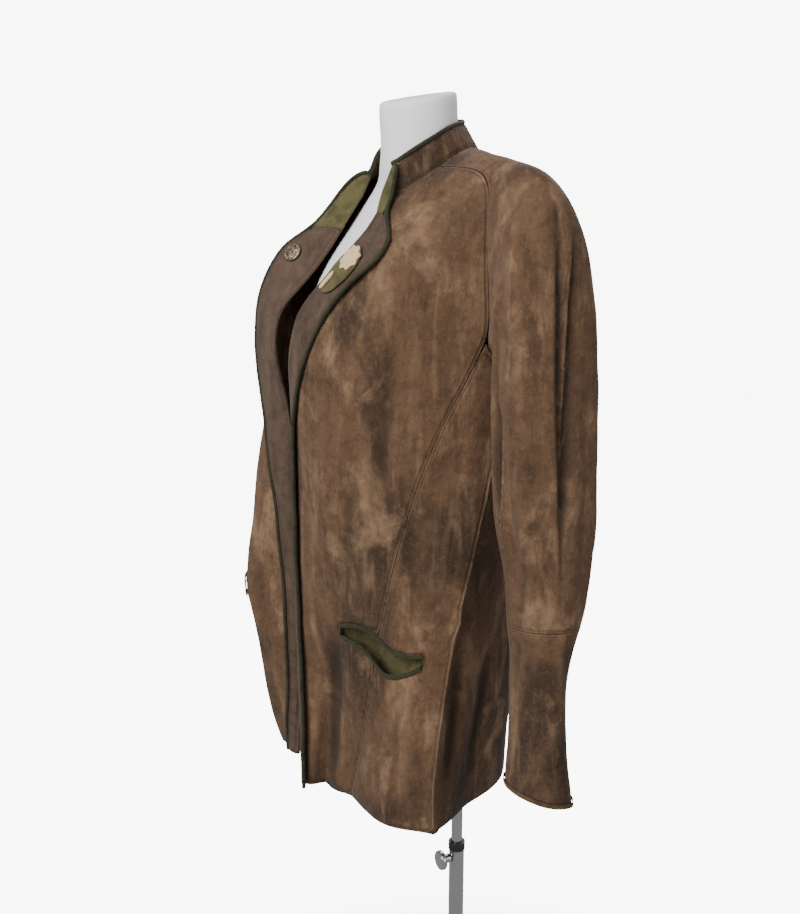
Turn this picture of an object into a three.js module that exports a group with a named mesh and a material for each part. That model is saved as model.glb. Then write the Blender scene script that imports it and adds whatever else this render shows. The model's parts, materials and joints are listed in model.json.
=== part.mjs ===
// Open suede jacket with a stand collar and turned-back lapels, worn by a limbless dress form.
// Millimetres, +Z up. The origin is the centre of the underside of the round base, on the pole's axis.
// The wearer faces -Y, so the wearer's left is +X.
import * as THREE from 'three';
import { mergeVertices } from 'three/addons/utils/BufferGeometryUtils.js';

// Driving dimensions of the jacket
const WALL = 2.0;              // suede with its backing, in every panel
const TRIM_WALL = 1.6;         // olive welts, bindings, pocket bags and applique
const SEAM = 0.4;              // clear gap between two panels at a seam
const LAY = 0.5;               // clear gap between a piece and the panel it lies on
const RIGHT_LIFT = 12;         // the right front hangs this much higher
const ROLL_R = 1.9;            // radius of the fold where the lapel turns back
const PIPING_R = 2.0;          // rolled edge of collar, lapel and front
const BUTTON_R = 12;
const BUTTON_H = 4;

// Driving dimensions of the stand and the form
const BASE_R = 170;
const BASE_H = 9;
const TUBE_R = 11;
const TUBE_BORE = 8.6;
const TUBE_TOP = 462;
const RING_R = 12;
const RING_TOP = 474;
const POLE_R = 8;
const POLE_BOTTOM = 205;
const SOCKET_R = 20;
const SOCKET_BOTTOM = 672;
const FORM_BOTTOM = 700;
const KNOB_Z = 449;
const KNOB_R = 14;
const KNOB_H = 9;
const BOSS_R = 6.5;
const BOSS_H = 9;
const STEM_R = 3;

const COLOURS = {
  suede: [0x7d5f4b, 0.95, 0],
  facing: [0x7a6558, 0.95, 0],
  olive: [0x5d5a30, 0.9, 0],
  cream: [0xe0c08c, 0.85, 0],
  pewter: [0x8a7f6a, 0.45, 0.9],
  form: [0xf2efec, 0.6, 0],
  chrome: [0xd8dadc, 0.12, 1],
  black: [0x151515, 0.5, 0],
};

const root = new THREE.Group();

function add(name, colour, geometry) {
  const [hex, roughness, metalness] = COLOURS[colour];
  const material = new THREE.MeshStandardMaterial({ color: hex, roughness, metalness });
  const mesh = new THREE.Mesh(geometry, material);
  mesh.name = name;
  root.add(mesh);
  return mesh;
}

const V = (x, y, z) => new THREE.Vector3(x, y, z);
const lerp = (a, b, t) => a + (b - a) * t;
const smooth = (t) => t * t * (3 - 2 * t);
const clamp01 = (t) => Math.min(1, Math.max(0, t));
const bump = (t, at, width) => Math.exp(-(((t - at) / width) ** 2));
const mirrored = (points) => points.map((p) => V(-p.x, p.y, p.z));
const moved = (p, way, distance) => p.clone().addScaledVector(way, distance);

// Value of a named column at a place, from rows in order of rising `by`
function lookUp(rows, by, at, key) {
  if (at <= rows[0][by]) return rows[0][key];
  for (let i = 1; i < rows.length; i += 1) {
    if (at <= rows[i][by]) {
      const t = (at - rows[i - 1][by]) / (rows[i][by] - rows[i - 1][by]);
      return lerp(rows[i - 1][key], rows[i][key], t);
    }
  }
  return rows[rows.length - 1][key];
}

// Evenly spaced points along a smooth curve through the given points
function spaced(points, count) {
  return new THREE.CatmullRomCurve3(points, false, 'centripetal').getSpacedPoints(count);
}

// Faces of a closed wall from point grids; points in the same place are welded.
// A patch is { grid, loop, skip, turn }: grid[j][i]; loop joins its last column to its first,
// skip leaves cells out, and turn reverses its faces.
function weld(patches) {
  const points = [];
  const index = new Map();
  const triangles = [];
  const idOf = (p) => {
    const key = placeKey(p);
    if (!index.has(key)) {
      index.set(key, points.length);
      points.push(p.clone());
    }
    return index.get(key);
  };
  for (const { grid, loop = false, skip = null, turn = false } of patches) {
    const across = grid[0].length;
    for (let j = 0; j + 1 < grid.length; j += 1) {
      for (let i = 0; i < (loop ? across : across - 1); i += 1) {
        if (skip && skip(i, j)) continue;
        const k = (i + 1) % across;
        const quad = [grid[j][i], grid[j][k], grid[j + 1][k], grid[j + 1][i]].map(idOf);
        if (turn) quad.reverse();
        const [a, b, c, d] = quad;
        if (a !== b && b !== c && a !== c) triangles.push([a, b, c]);
        if (a !== c && c !== d && a !== d) triangles.push([a, c, d]);
      }
    }
  }
  return { points, triangles };
}

const placeKey = (p) => `${Math.round(p.x * 50)},${Math.round(p.y * 50)},${Math.round(p.z * 50)}`;

// The way out of the cloth at every seam point, shared by the panels that meet there
const outward = new Map();

function shareOutward(patches) {
  const { points, triangles } = weld(patches);
  for (const [a, b, c] of triangles) {
    const n = points[b].clone().sub(points[a]).cross(points[c].clone().sub(points[a]));
    for (const id of [a, b, c]) {
      const key = placeKey(points[id]);
      if (!outward.has(key)) outward.set(key, V(0, 0, 0));
      outward.get(key).add(n);
    }
  }
}

// A closed cloth wall, its middle on the patches; its edges are drawn in by half a seam gap
function clothWall(patches, thickness, inset = SEAM / 2) {
  const { points, triangles } = weld(patches);
  const normals = points.map(() => V(0, 0, 0));
  const edges = new Map();
  for (const [a, b, c] of triangles) {
    const n = points[b].clone().sub(points[a]).cross(points[c].clone().sub(points[a]));
    for (const id of [a, b, c]) normals[id].add(n);
    for (const [s, e] of [[a, b], [b, c], [c, a]]) edges.set(`${s},${e}`, [s, e]);
  }
  points.forEach((p, id) => {
    const shared = outward.get(placeKey(p));
    if (shared) normals[id].copy(shared);
    normals[id].normalize();
  });
  const border = [...edges.values()].filter(([s, e]) => !edges.has(`${e},${s}`));
  const pull = new Map();
  for (const [s, e] of border) {
    const way = points[e].clone().sub(points[s]).normalize();
    for (const id of [s, e]) {
      const inward = normals[id].clone().cross(way);
      if (!pull.has(id)) pull.set(id, V(0, 0, 0));
      pull.get(id).add(inward);
    }
  }
  for (const [id, way] of pull) points[id].addScaledVector(way.normalize(), inset);
  const n = points.length;
  const position = [];
  for (const side of [0.5, -0.5]) {
    points.forEach((p, id) => position.push(...moved(p, normals[id], side * thickness).toArray()));
  }
  const faces = [];
  for (const [a, b, c] of triangles) faces.push(a, b, c, a + n, c + n, b + n);
  for (const [s, e] of border) faces.push(s, s + n, e + n, s, e + n, e);
  return indexed(position, faces);
}

function indexed(position, faces) {
  const geometry = new THREE.BufferGeometry();
  geometry.setAttribute('position', new THREE.Float32BufferAttribute(position, 3));
  geometry.setIndex(faces);
  return geometry;
}

// A solid skin through closed rings of points, with a fan over each end
function ringSolid(rings) {
  const count = rings[0].length;
  const position = [];
  for (const ring of rings) ring.forEach((p) => position.push(p.x, p.y, p.z));
  const faces = [];
  for (let j = 0; j + 1 < rings.length; j += 1) {
    for (let i = 0; i < count; i += 1) {
      const k = (i + 1) % count;
      const [a, b, c, d] = [j * count + i, j * count + k, (j + 1) * count + k, (j + 1) * count + i];
      faces.push(a, b, c, a, c, d);
    }
  }
  const ends = [[rings[0], 0, false], [rings.at(-1), (rings.length - 1) * count, true]];
  for (const [ring, start, out] of ends) {
    const middle = ring.reduce((sum, p) => sum.add(p), V(0, 0, 0)).divideScalar(count);
    const hub = position.length / 3;
    position.push(middle.x, middle.y, middle.z);
    for (let i = 0; i < count; i += 1) {
      const k = (i + 1) % count;
      faces.push(hub, ...(out ? [start + i, start + k] : [start + k, start + i]));
    }
  }
  return indexed(position, faces);
}

// A round cord through points, with `sides` sides; it starts and ends with a flat disc
function cord(points, radius, sides) {
  const rings = points.map((p, j) => {
    const way = points[Math.min(j + 1, points.length - 1)].clone().sub(points[Math.max(j - 1, 0)]);
    way.normalize();
    const across = V(0, 0, 1).cross(way);
    if (across.length() < 0.3) across.copy(V(1, 0, 0).cross(way));
    across.normalize();
    return { p, way, across };
  });
  // each ring keeps the turn of the one before it
  for (let j = 1; j < rings.length; j += 1) {
    const carried = rings[j - 1].across.clone();
    carried.addScaledVector(rings[j].way, -carried.dot(rings[j].way));
    rings[j].across = carried.normalize();
  }
  return ringSolid(rings.map(({ p, way, across }) => {
    const other = way.clone().cross(across);
    return Array.from({ length: sides }, (_, i) => {
      const angle = (2 * Math.PI * i) / sides;
      return moved(moved(p, across, radius * Math.cos(angle)), other, radius * Math.sin(angle));
    });
  }));
}

// A turned piece standing on Z, from [radius, height] pairs
function turned(profile, segments) {
  const points = profile.map(([r, h]) => new THREE.Vector2(r, h));
  const geometry = new THREE.LatheGeometry(points, segments);
  geometry.deleteAttribute('normal');
  geometry.deleteAttribute('uv');
  geometry.rotateX(Math.PI / 2);
  const merged = mergeVertices(geometry, 1e-3);
  const index = Array.from(merged.index.array);
  const faces = [];
  for (let i = 0; i < index.length; i += 3) {
    const [a, b, c] = [index[i], index[i + 1], index[i + 2]];
    if (a !== b && b !== c && a !== c) faces.push(a, b, c);
  }
  merged.setIndex(faces);
  return merged;
}

// Body sections, from the hem up. roll = the front edge where the lapel turns, pri = the princess
// seam, side = the side seam and above it the back armhole, cb = the centre back;
// bow = how far a panel swells past the straight line between its seams, peak = where it swells most.
const LEFT = [
  {
    z: 620, rollX: -5, rollY: -226, priX: 50, priY: -181, sideX: 172, sideY: -126,
    cb: 74, bowF: -7, peak: 0.45, bowS: 20, bowB: 27,
  },
  {
    z: 672, rollX: -5, rollY: -227, priX: 64, priY: -178, sideX: 172, sideY: -125,
    cb: 72, bowF: -5, peak: 0.4, bowS: 20, bowB: 30,
  },
  {
    z: 720, rollX: -5, rollY: -228, priX: 76, priY: -174, sideX: 172, sideY: -122,
    cb: 70, bowF: -2, peak: 0.4, bowS: 18, bowB: 34,
  },
  {
    z: 805, rollX: -4, rollY: -229, priX: 98, priY: -171, sideX: 171, sideY: -111,
    cb: 66, bowF: 4, peak: 0.5, bowS: 12, bowB: 42,
  },
  {
    z: 876, rollX: -3, rollY: -229, priX: 112, priY: -168, sideX: 170, sideY: -99,
    cb: 63, bowF: 10, peak: 0.5, bowS: 9, bowB: 46,
  },
  {
    z: 960, rollX: -2, rollY: -228, priX: 128, priY: -156, sideX: 171, sideY: -77,
    cb: 60, bowF: 18, peak: 0.5, bowS: 7, bowB: 45,
  },
  {
    z: 1060, rollX: -2, rollY: -227, priX: 150, priY: -137, sideX: 174, sideY: -58,
    cb: 57, bowF: 30, peak: 0.48, bowS: 5, bowB: 42,
  },
  {
    z: 1150, rollX: -1, rollY: -229, priX: 162, priY: -102, sideX: 173, sideY: -38,
    cb: 55, bowF: 42, peak: 0.45, bowS: 4, bowB: 36,
  },
  {
    z: 1222, rollX: 2, rollY: -230, priX: 167, priY: -61, sideX: 169, sideY: 6,
    cb: 53, bowF: 50, peak: 0.42, bowS: 0, bowB: 28,
  },
  {
    z: 1300, rollX: 31, rollY: -184, priX: 165, priY: -60, sideX: 160, sideY: 28,
    cb: 47, bowF: 34, peak: 0.42, bowS: 0, bowB: 16,
  },
  {
    z: 1350, rollX: 47, rollY: -141, priX: 161, priY: -58, sideX: 150, sideY: 22,
    cb: 39, bowF: 24, peak: 0.42, bowS: 0, bowB: 12,
  },
];

const RIGHT = [
  {
    z: 620, rollX: -64, rollY: -211, priX: -128, priY: -203, sideX: -176, sideY: -124,
    cb: 74, bowF: 10, peak: 0.5, bowS: 12, bowB: 27,
  },
  {
    z: 672, rollX: -57, rollY: -213, priX: -132, priY: -208, sideX: -177, sideY: -124,
    cb: 72, bowF: 19, peak: 0.5, bowS: 13, bowB: 30,
  },
  {
    z: 720, rollX: -48, rollY: -215, priX: -134, priY: -213, sideX: -178, sideY: -122,
    cb: 70, bowF: 25, peak: 0.52, bowS: 14, bowB: 34,
  },
  {
    z: 805, rollX: -32, rollY: -219, priX: -136, priY: -220, sideX: -179, sideY: -116,
    cb: 66, bowF: 36, peak: 0.56, bowS: 13, bowB: 42,
  },
  {
    z: 876, rollX: -20, rollY: -221, priX: -138, priY: -221, sideX: -178, sideY: -108,
    cb: 63, bowF: 47, peak: 0.6, bowS: 12, bowB: 46,
  },
  {
    z: 960, rollX: -13, rollY: -223, priX: -144, priY: -203, sideX: -176, sideY: -88,
    cb: 60, bowF: 45, peak: 0.56, bowS: 9, bowB: 45,
  },
  {
    z: 1060, rollX: -12, rollY: -224, priX: -156, priY: -163, sideX: -175, sideY: -62,
    cb: 57, bowF: 52, peak: 0.48, bowS: 6, bowB: 42,
  },
  {
    z: 1150, rollX: -34, rollY: -230, priX: -163, priY: -108, sideX: -173, sideY: -38,
    cb: 55, bowF: 46, peak: 0.42, bowS: 4, bowB: 36,
  },
  {
    z: 1222, rollX: -48, rollY: -236, priX: -167, priY: -61, sideX: -169, sideY: 6,
    cb: 53, bowF: 44, peak: 0.42, bowS: 0, bowB: 28,
  },
  {
    z: 1300, rollX: -54, rollY: -167, priX: -165, priY: -60, sideX: -160, sideY: 28,
    cb: 47, bowF: 30, peak: 0.42, bowS: 0, bowB: 16,
  },
  {
    z: 1350, rollX: -59, rollY: -130, priX: -161, priY: -58, sideX: -150, sideY: 22,
    cb: 39, bowF: 22, peak: 0.42, bowS: 0, bowB: 12,
  },
];

const PRINCESS_TOP_Z = 1222;   // where the princess seam meets the armhole
const UNDERARM = V(171, -24, 1188);
const BACK_LEVEL_Z = 1235;     // the back's row that starts at the underarm ends here

// Top lines of the left panels; the right side mirrors them, apart from the front of the neck
const NECK_FRONT = [V(48, -133, 1380), V(58, -118, 1384), V(68, -101, 1394), V(72, -74, 1411)];
const RIGHT_NECK_FRONT = [V(-60, -113, 1372), V(-67, -107, 1382), V(-72, -96, 1394), V(-72, -74, 1411)];
const SADDLE_FRONT = [
  V(72, -74, 1411), V(100, -62, 1411), V(128, -54, 1408), V(144, -52, 1401), V(152, -53, 1388),
];
const SADDLE_REAR = [
  V(142, 12, 1384), V(133, 4, 1402), V(112, -10, 1417), V(82, -19, 1427), V(52, -24, 1432),
];
const SADDLE_RIDGE = [V(66, -50, 1425), V(90, -32, 1425), V(122, -23, 1424), V(154, -23, 1422)];
const NECK_BACK = [V(52, -24, 1432), V(30, -3, 1431), V(0, 8, 1428)];

// How many cells each panel has
const FRONT_COLS = 12;
const NECK_COLS = 6;
const SADDLE_ROWS = FRONT_COLS - NECK_COLS;
const SIDE_COLS = 6;
const BACK_NECK_COLS = 4;
const BACK_COLS = SADDLE_ROWS + BACK_NECK_COLS;
const CAP_COLS = 4;
const LIP_ROW = 6;             // the row that follows the pocket's lower lip
const LOW_ROWS = 15;           // rows up to the underarm
const BODY_ROWS = 22;

// Folds that run up and down the body: at = place across the panel, from and to = heights
const FRONT_FOLDS = [
  { side: 1, at: 0.32, from: 600, to: 860, depth: -9, width: 0.12 },
  { side: 1, at: 0.12, from: 600, to: 760, depth: 5, width: 0.1 },
  { side: 1, at: 0.62, from: 600, to: 760, depth: 6, width: 0.16 },
  { side: 1, at: 0.6, from: 880, to: 1150, depth: -4, width: 0.12 },
  { side: -1, at: 0.35, from: 600, to: 840, depth: -5, width: 0.12 },
  { side: -1, at: 0.7, from: 600, to: 780, depth: 5, width: 0.15 },
];
const SIDE_FOLDS = [
  { side: 1, at: 0.55, from: 600, to: 800, depth: 5, width: 0.2 },
  { side: 1, at: 0.3, from: 900, to: 1130, depth: -3, width: 0.2 },
  { side: -1, at: 0.5, from: 600, to: 820, depth: 5, width: 0.2 },
];
const BACK_FOLDS = [
  { side: 1, at: 0.28, from: 600, to: 960, depth: -9, width: 0.12 },
  { side: 1, at: 0.62, from: 600, to: 1120, depth: 8, width: 0.14 },
  { side: -1, at: 0.3, from: 600, to: 1000, depth: -8, width: 0.12 },
  { side: -1, at: 0.66, from: 600, to: 1080, depth: 7, width: 0.14 },
];

function foldDepth(folds, side, t, z) {
  let depth = 0;
  for (const fold of folds) {
    if (fold.side !== side) continue;
    const fade = smooth(clamp01((fold.to - z) / (0.4 * (fold.to - fold.from))));
    depth += fold.depth * fade * bump(t, fold.at, fold.width);
  }
  return depth * Math.sin(Math.PI * t) ** 0.5;
}

// Level sections of one panel between the columns named from and to
function panelRows(rows, side, from, to, bow, count, folds) {
  return rows.map((r) => {
    const a = V(r[`${from}X`], r[`${from}Y`], r.z);
    const b = to === 'cb' ? V(0, r.cb, r.z) : V(r[`${to}X`], r[`${to}Y`], r.z);
    const normal = V(b.y - a.y, a.x - b.x, 0).normalize().multiplyScalar(side);
    const power = from === 'roll' ? Math.log(0.5) / Math.log(r.peak) : 1;
    return Array.from({ length: count + 1 }, (_, i) => {
      const t = i / count;
      const swell = Math.sin(Math.PI * t ** power) * r[bow] + foldDepth(folds, side, t, r.z);
      return moved(a.clone().lerp(b, t), normal, swell);
    });
  });
}

// Heights of the pocket's lips, s from its front end to its back end
const LIPS = [
  { s: 0, upper: 868, lower: 854 },
  { s: 0.18, upper: 873, lower: 851 },
  { s: 0.34, upper: 872, lower: 845 },
  { s: 0.46, upper: 863, lower: 830 },
  { s: 0.6, upper: 850, lower: 816 },
  { s: 0.75, upper: 846, lower: 820 },
  { s: 0.88, upper: 847, lower: 828 },
  { s: 1, upper: 850, lower: 838 },
];
const FRONT_MOUTH = 7;         // first column of the mouth in the front panel
const SIDE_MOUTH = 4;          // last column of the mouth in the side panel
const MOUTH_SEAM = 0.46;       // the princess seam crosses the mouth here
const MOUTH_COLS = FRONT_COLS - FRONT_MOUTH + SIDE_MOUTH;
const frontMouth = (i) => (MOUTH_SEAM * (i - FRONT_MOUTH)) / (FRONT_COLS - FRONT_MOUTH);
const sideMouth = (i) => MOUTH_SEAM + ((1 - MOUTH_SEAM) * i) / SIDE_MOUTH;
const lip = (s, key) => lookUp(LIPS, 's', clamp01(s), key);

// A column of a panel, read by height
function heightCurve(points) {
  const steps = 300;
  const curve = new THREE.CatmullRomCurve3(points, false, 'centripetal');
  const table = Array.from({ length: steps + 1 }, (_, k) => curve.getPoint(k / steps));
  return (z) => {
    const k = table.findIndex((p) => p.z >= z);
    if (k < 0) return table.at(-1).clone();
    if (k === 0) return table[0].clone();
    return table[k - 1].clone().lerp(table[k], (z - table[k - 1].z) / (table[k].z - table[k - 1].z));
  };
}

// A panel's grid. Row LIP_ROW follows the pocket's lower lip and the next row its upper lip;
// row LOW_ROWS runs at the height levelZ(i), and the rows above it share out the rest.
function bodyGrid(rows, count, mouth, lift, levelZ) {
  const top = rows.at(-1);
  const grid = Array.from({ length: count + 1 }, () => []);
  for (let i = 0; i < rows[0].length; i += 1) {
    const at = heightCurve(rows.map((row) => row[i]));
    const lower = lip(mouth(i), 'lower') + lift(i);
    const upper = lip(mouth(i), 'upper') + lift(i);
    const bottom = rows[0][i].z;
    const level = levelZ(i);
    for (let j = 0; j <= count; j += 1) {
      let z = lerp(level, top[i].z, (j - LOW_ROWS) / (count - LOW_ROWS || 1));
      if (j <= LOW_ROWS) z = lerp(upper, level, (j - LIP_ROW - 1) / (LOW_ROWS - LIP_ROW - 1));
      if (j <= LIP_ROW) z = lerp(bottom, lower, j / LIP_ROW);
      grid[j].push(j === count ? top[i].clone() : at(z));
    }
  }
  return grid;
}

function bodySide(side) {
  const sections = side > 0 ? LEFT : RIGHT;
  const hem = side > 0 ? 0 : RIGHT_LIFT;
  const flip = (points) => (side > 0 ? points : mirrored(points));
  const neck = side > 0 ? NECK_FRONT : RIGHT_NECK_FRONT;
  const under = flip([UNDERARM])[0];
  // the right hem is lifted at its front and runs down to the side seam
  const raise = (rows, amount) => {
    rows[0].forEach((p, i) => p.setZ(p.z + amount(i)));
    return rows;
  };

  const frontRows = panelRows(sections, side, 'roll', 'pri', 'bowF', FRONT_COLS, FRONT_FOLDS);
  frontRows.push([...spaced(neck, NECK_COLS), ...spaced(flip(SADDLE_FRONT), SADDLE_ROWS).slice(1)]);
  const front = bodyGrid(
    raise(frontRows, () => hem), BODY_ROWS, frontMouth, () => hem,
    (i) => lerp(1235, PRINCESS_TOP_Z, i / FRONT_COLS),
  );

  const low = sections.filter((r) => r.z < UNDERARM.z - 20);
  const sideRows = panelRows(low, side, 'pri', 'side', 'bowS', SIDE_COLS, SIDE_FOLDS);
  const seamTop = front[LOW_ROWS][FRONT_COLS];
  sideRows.push(spaced([seamTop, V(side * 172, -45, 1196), under], SIDE_COLS));
  const sideLift = (i) => hem * (1 - i / SIDE_COLS);
  const sideGrid = bodyGrid(
    raise(sideRows, sideLift), LOW_ROWS, sideMouth, sideLift, (i) => sideRows.at(-1)[i].z,
  );
  sideGrid.forEach((row, j) => { row[0] = front[j][FRONT_COLS].clone(); });

  const backRows = panelRows(sections, side, 'side', 'cb', 'bowB', BACK_COLS, BACK_FOLDS);
  const rear = spaced(flip(SADDLE_REAR), SADDLE_ROWS);
  backRows.push([...rear, ...spaced(flip(NECK_BACK), BACK_NECK_COLS).slice(1)]);
  const back = bodyGrid(
    backRows, BODY_ROWS, () => 1, () => 0,
    (i) => lerp(under.z, BACK_LEVEL_Z, smooth(clamp01(i / 5))),
  );
  for (let j = 0; j <= LOW_ROWS; j += 1) back[j][0] = sideGrid[j][SIDE_COLS].clone();
  return { front, sideGrid, back, side };
}

// Sleeve rings: the outer and inner points of each ring, its middle and half-width front to back,
// and how much lower its back edge is
const SLEEVE = [
  { outX: 205, outZ: 1413, inX: 185, inZ: 1176, y: -20, b: 50, drop: 0 },
  { outX: 235, outZ: 1385, inX: 187, inZ: 1152, y: -20, b: 56, drop: 0 },
  { outX: 252, outZ: 1330, inX: 183, inZ: 1120, y: -19, b: 61, drop: 0 },
  { outX: 262, outZ: 1250, inX: 184, inZ: 1082, y: -18, b: 65, drop: 0 },
  { outX: 270, outZ: 1165, inX: 185, inZ: 1042, y: -18, b: 66, drop: 0 },
  { outX: 276, outZ: 1085, inX: 187, inZ: 1000, y: -17, b: 61, drop: 4 },
  { outX: 281, outZ: 1010, inX: 190, inZ: 958, y: -15, b: 53, drop: 8 },
  { outX: 285, outZ: 950, inX: 194, inZ: 922, y: -17, b: 45, drop: 8 },
];
const FOREARM = [
  { outX: 287, outZ: 912, inX: 198, inZ: 896, y: -21, b: 38, drop: 4 },
  { outX: 286, outZ: 868, inX: 202, inZ: 862, y: -27, b: 28, drop: 3 },
  { outX: 284, outZ: 815, inX: 203, inZ: 812, y: -27, b: 26, drop: 4 },
  { outX: 283, outZ: 760, inX: 202, inZ: 758, y: -24, b: 29, drop: 6 },
  { outX: 285, outZ: 724, inX: 200, inZ: 722, y: -22, b: 34, drop: 9 },
  { outX: 287, outZ: 693, inX: 199, inZ: 691, y: -21, b: 37, drop: 12 },
];
const SLEEVE_ROWS = 10;
const FOREARM_ROWS = 6;

// Folds down the sleeve: angle 0 at the back, 90 outside, 180 in front; depth outwards
const SLEEVE_FOLDS = [
  { angle: 168, depth: -11, width: 11, from: 930, to: 1390 },
  { angle: 140, depth: 5, width: 16, from: 880, to: 1370 },
  { angle: 88, depth: 6, width: 12, from: 900, to: 1385 },
  { angle: 70, depth: -6, width: 9, from: 960, to: 1370 },
  { angle: 48, depth: 5, width: 11, from: 930, to: 1365 },
  { angle: 28, depth: -5, width: 10, from: 950, to: 1340 },
  { angle: -30, depth: -7, width: 13, from: 900, to: 1250 },
  { angle: 215, depth: -6, width: 12, from: 900, to: 1200 },
];
const FOREARM_FOLDS = [
  { angle: 160, depth: -5, width: 14, from: 800, to: 930 },
  { angle: 60, depth: -4, width: 14, from: 790, to: 930 },
  { angle: 20, depth: -3, width: 16, from: 700, to: 860 },
];

function sleeveFold(folds, degrees, z) {
  let depth = 0;
  for (const fold of folds) {
    const away = Math.abs(((degrees - fold.angle + 540) % 360) - 180);
    const rise = smooth(clamp01((z - fold.from) / 60));
    const fade = smooth(clamp01((fold.to - z) / 70));
    depth += fold.depth * rise * fade * Math.exp(-((away / fold.width) ** 2));
  }
  return depth;
}

function ringPoint(r, degrees, folds) {
  const angle = THREE.MathUtils.degToRad(degrees);
  const middle = V((r.outX + r.inX) / 2, r.y, (r.outZ + r.inZ) / 2);
  const outward = V((r.outX - r.inX) / 2, 0, (r.outZ - r.inZ) / 2);
  const [c, s] = [Math.cos(angle), Math.sin(angle)];
  const square = (v) => Math.sign(v) * Math.abs(v) ** 0.92;
  const point = moved(middle, outward, square(s)).add(V(0, square(c) * r.b, -c * r.drop));
  const way = point.clone().sub(middle).normalize();
  return moved(point, way, sleeveFold(folds, degrees, point.z));
}

// One sleeve and its saddle, joined to the points of the body's armhole
function sleeveSide({ front, sideGrid, back, side }) {
  const flip = (points) => (side > 0 ? points : mirrored(points));
  const mirror = (p) => (side > 0 ? p : V(-p.x, p.y, p.z));
  const frontEdge = front[BODY_ROWS].slice(NECK_COLS);
  const rearEdge = back[BODY_ROWS].slice(0, SADDLE_ROWS + 1).reverse();
  const ridge = spaced(flip(SADDLE_RIDGE), SADDLE_ROWS);
  // each row of the saddle runs from its front seam over the ridge to its rear seam
  const saddle = frontEdge.map((a, j) => Array.from({ length: CAP_COLS + 1 }, (_, i) => {
    const s = i / CAP_COLS;
    const point = a.clone().multiplyScalar((1 - s) * (1 - 2 * s));
    return point.addScaledVector(ridge[j], 4 * s * (1 - s)).addScaledVector(rearEdge[j], s * (2 * s - 1));
  }));
  // the armhole: underarm, side panel, front panel, cap, back panel
  const loop = [];
  for (let i = SIDE_COLS; i > 0; i -= 1) loop.push(sideGrid[LOW_ROWS][i].clone());
  for (let j = LOW_ROWS; j < BODY_ROWS; j += 1) loop.push(front[j][FRONT_COLS].clone());
  for (let i = 0; i < CAP_COLS; i += 1) loop.push(saddle[SADDLE_ROWS][i].clone());
  for (let j = BODY_ROWS; j > LOW_ROWS; j -= 1) loop.push(back[j][0].clone());
  const middle = loop.reduce((sum, p) => sum.add(p), V(0, 0, 0)).divideScalar(loop.length);
  const holeAngle = loop.map((p) => {
    const degrees = THREE.MathUtils.radToDeg(Math.atan2((p.z - middle.z) / 115, (p.y - middle.y) / 45));
    return degrees;
  });
  // even angles that start at the underarm and run forwards, over the top and down the back
  const start = holeAngle[0];
  const angles = holeAngle.map((h, i) => {
    const real = start - ((((start - h) % 360) + 360) % 360);
    return { real, even: start - (360 * i) / loop.length };
  });
  const ring = (r, k, folds) => angles.map(({ real, even }) => {
    const blend = smooth(clamp01(k / 5));
    return mirror(ringPoint(r, lerp(real, even, blend), folds));
  });
  const armRings = SLEEVE.map((r, k) => ring(r, k + 1, SLEEVE_FOLDS));
  const upperRings = [loop, ...armRings, ring(FOREARM[0], 9, SLEEVE_FOLDS)];
  const lowerRings = FOREARM.map((r, k) => ring(r, 9 + k, FOREARM_FOLDS));
  lowerRings[0] = upperRings.at(-1).map((p) => p.clone());
  return { saddle, upper: loftRings(upperRings, SLEEVE_ROWS), lower: loftRings(lowerRings, FOREARM_ROWS) };
}

function loftRings(rings, along) {
  const grid = Array.from({ length: along + 1 }, () => []);
  for (let i = 0; i < rings[0].length; i += 1) {
    const curve = new THREE.CatmullRomCurve3(rings.map((row) => row[i]), false, 'centripetal');
    for (let j = 0; j <= along; j += 1) grid[j].push(curve.getPoint(j / along));
  }
  return grid;
}

// The collar band, from its left front round the back of the neck to its right front
const COLLAR_TOP = [
  V(52, -121, 1411), V(60, -112, 1420), V(63, -94, 1431), V(60, -70, 1443),
  V(46, -42, 1454), V(24, -17, 1458), V(0, -10, 1459), V(-24, -17, 1457),
  V(-46, -42, 1452), V(-60, -70, 1438), V(-64, -88, 1422), V(-62, -97, 1408),
  V(-58, -102, 1398),
];
const COLLAR_ROWS = 2;

function collarGrid(leftSleeve, rightSleeve) {
  const half = (body, sleeve) => [
    ...body.front[BODY_ROWS].slice(0, NECK_COLS),
    ...sleeve.saddle[0].slice(0, CAP_COLS),
    ...body.back[BODY_ROWS].slice(SADDLE_ROWS),
  ];
  const leftHalf = half(left, leftSleeve);
  const rightHalf = half(right, rightSleeve);
  const seam = [...leftHalf, ...rightHalf.slice(0, -1).reverse()].map((p) => p.clone());
  const lengths = [0];
  for (let i = 1; i < seam.length; i += 1) lengths.push(lengths[i - 1] + seam[i].distanceTo(seam[i - 1]));
  const topCurve = new THREE.CatmullRomCurve3(COLLAR_TOP, false, 'centripetal');
  const top = lengths.map((s) => topCurve.getPointAt(s / lengths.at(-1)));
  return Array.from({ length: COLLAR_ROWS + 1 }, (_, j) => seam.map((p, i) => {
    const t = j / COLLAR_ROWS;
    return p.clone().lerp(top[i], t);
  }));
}

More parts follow.
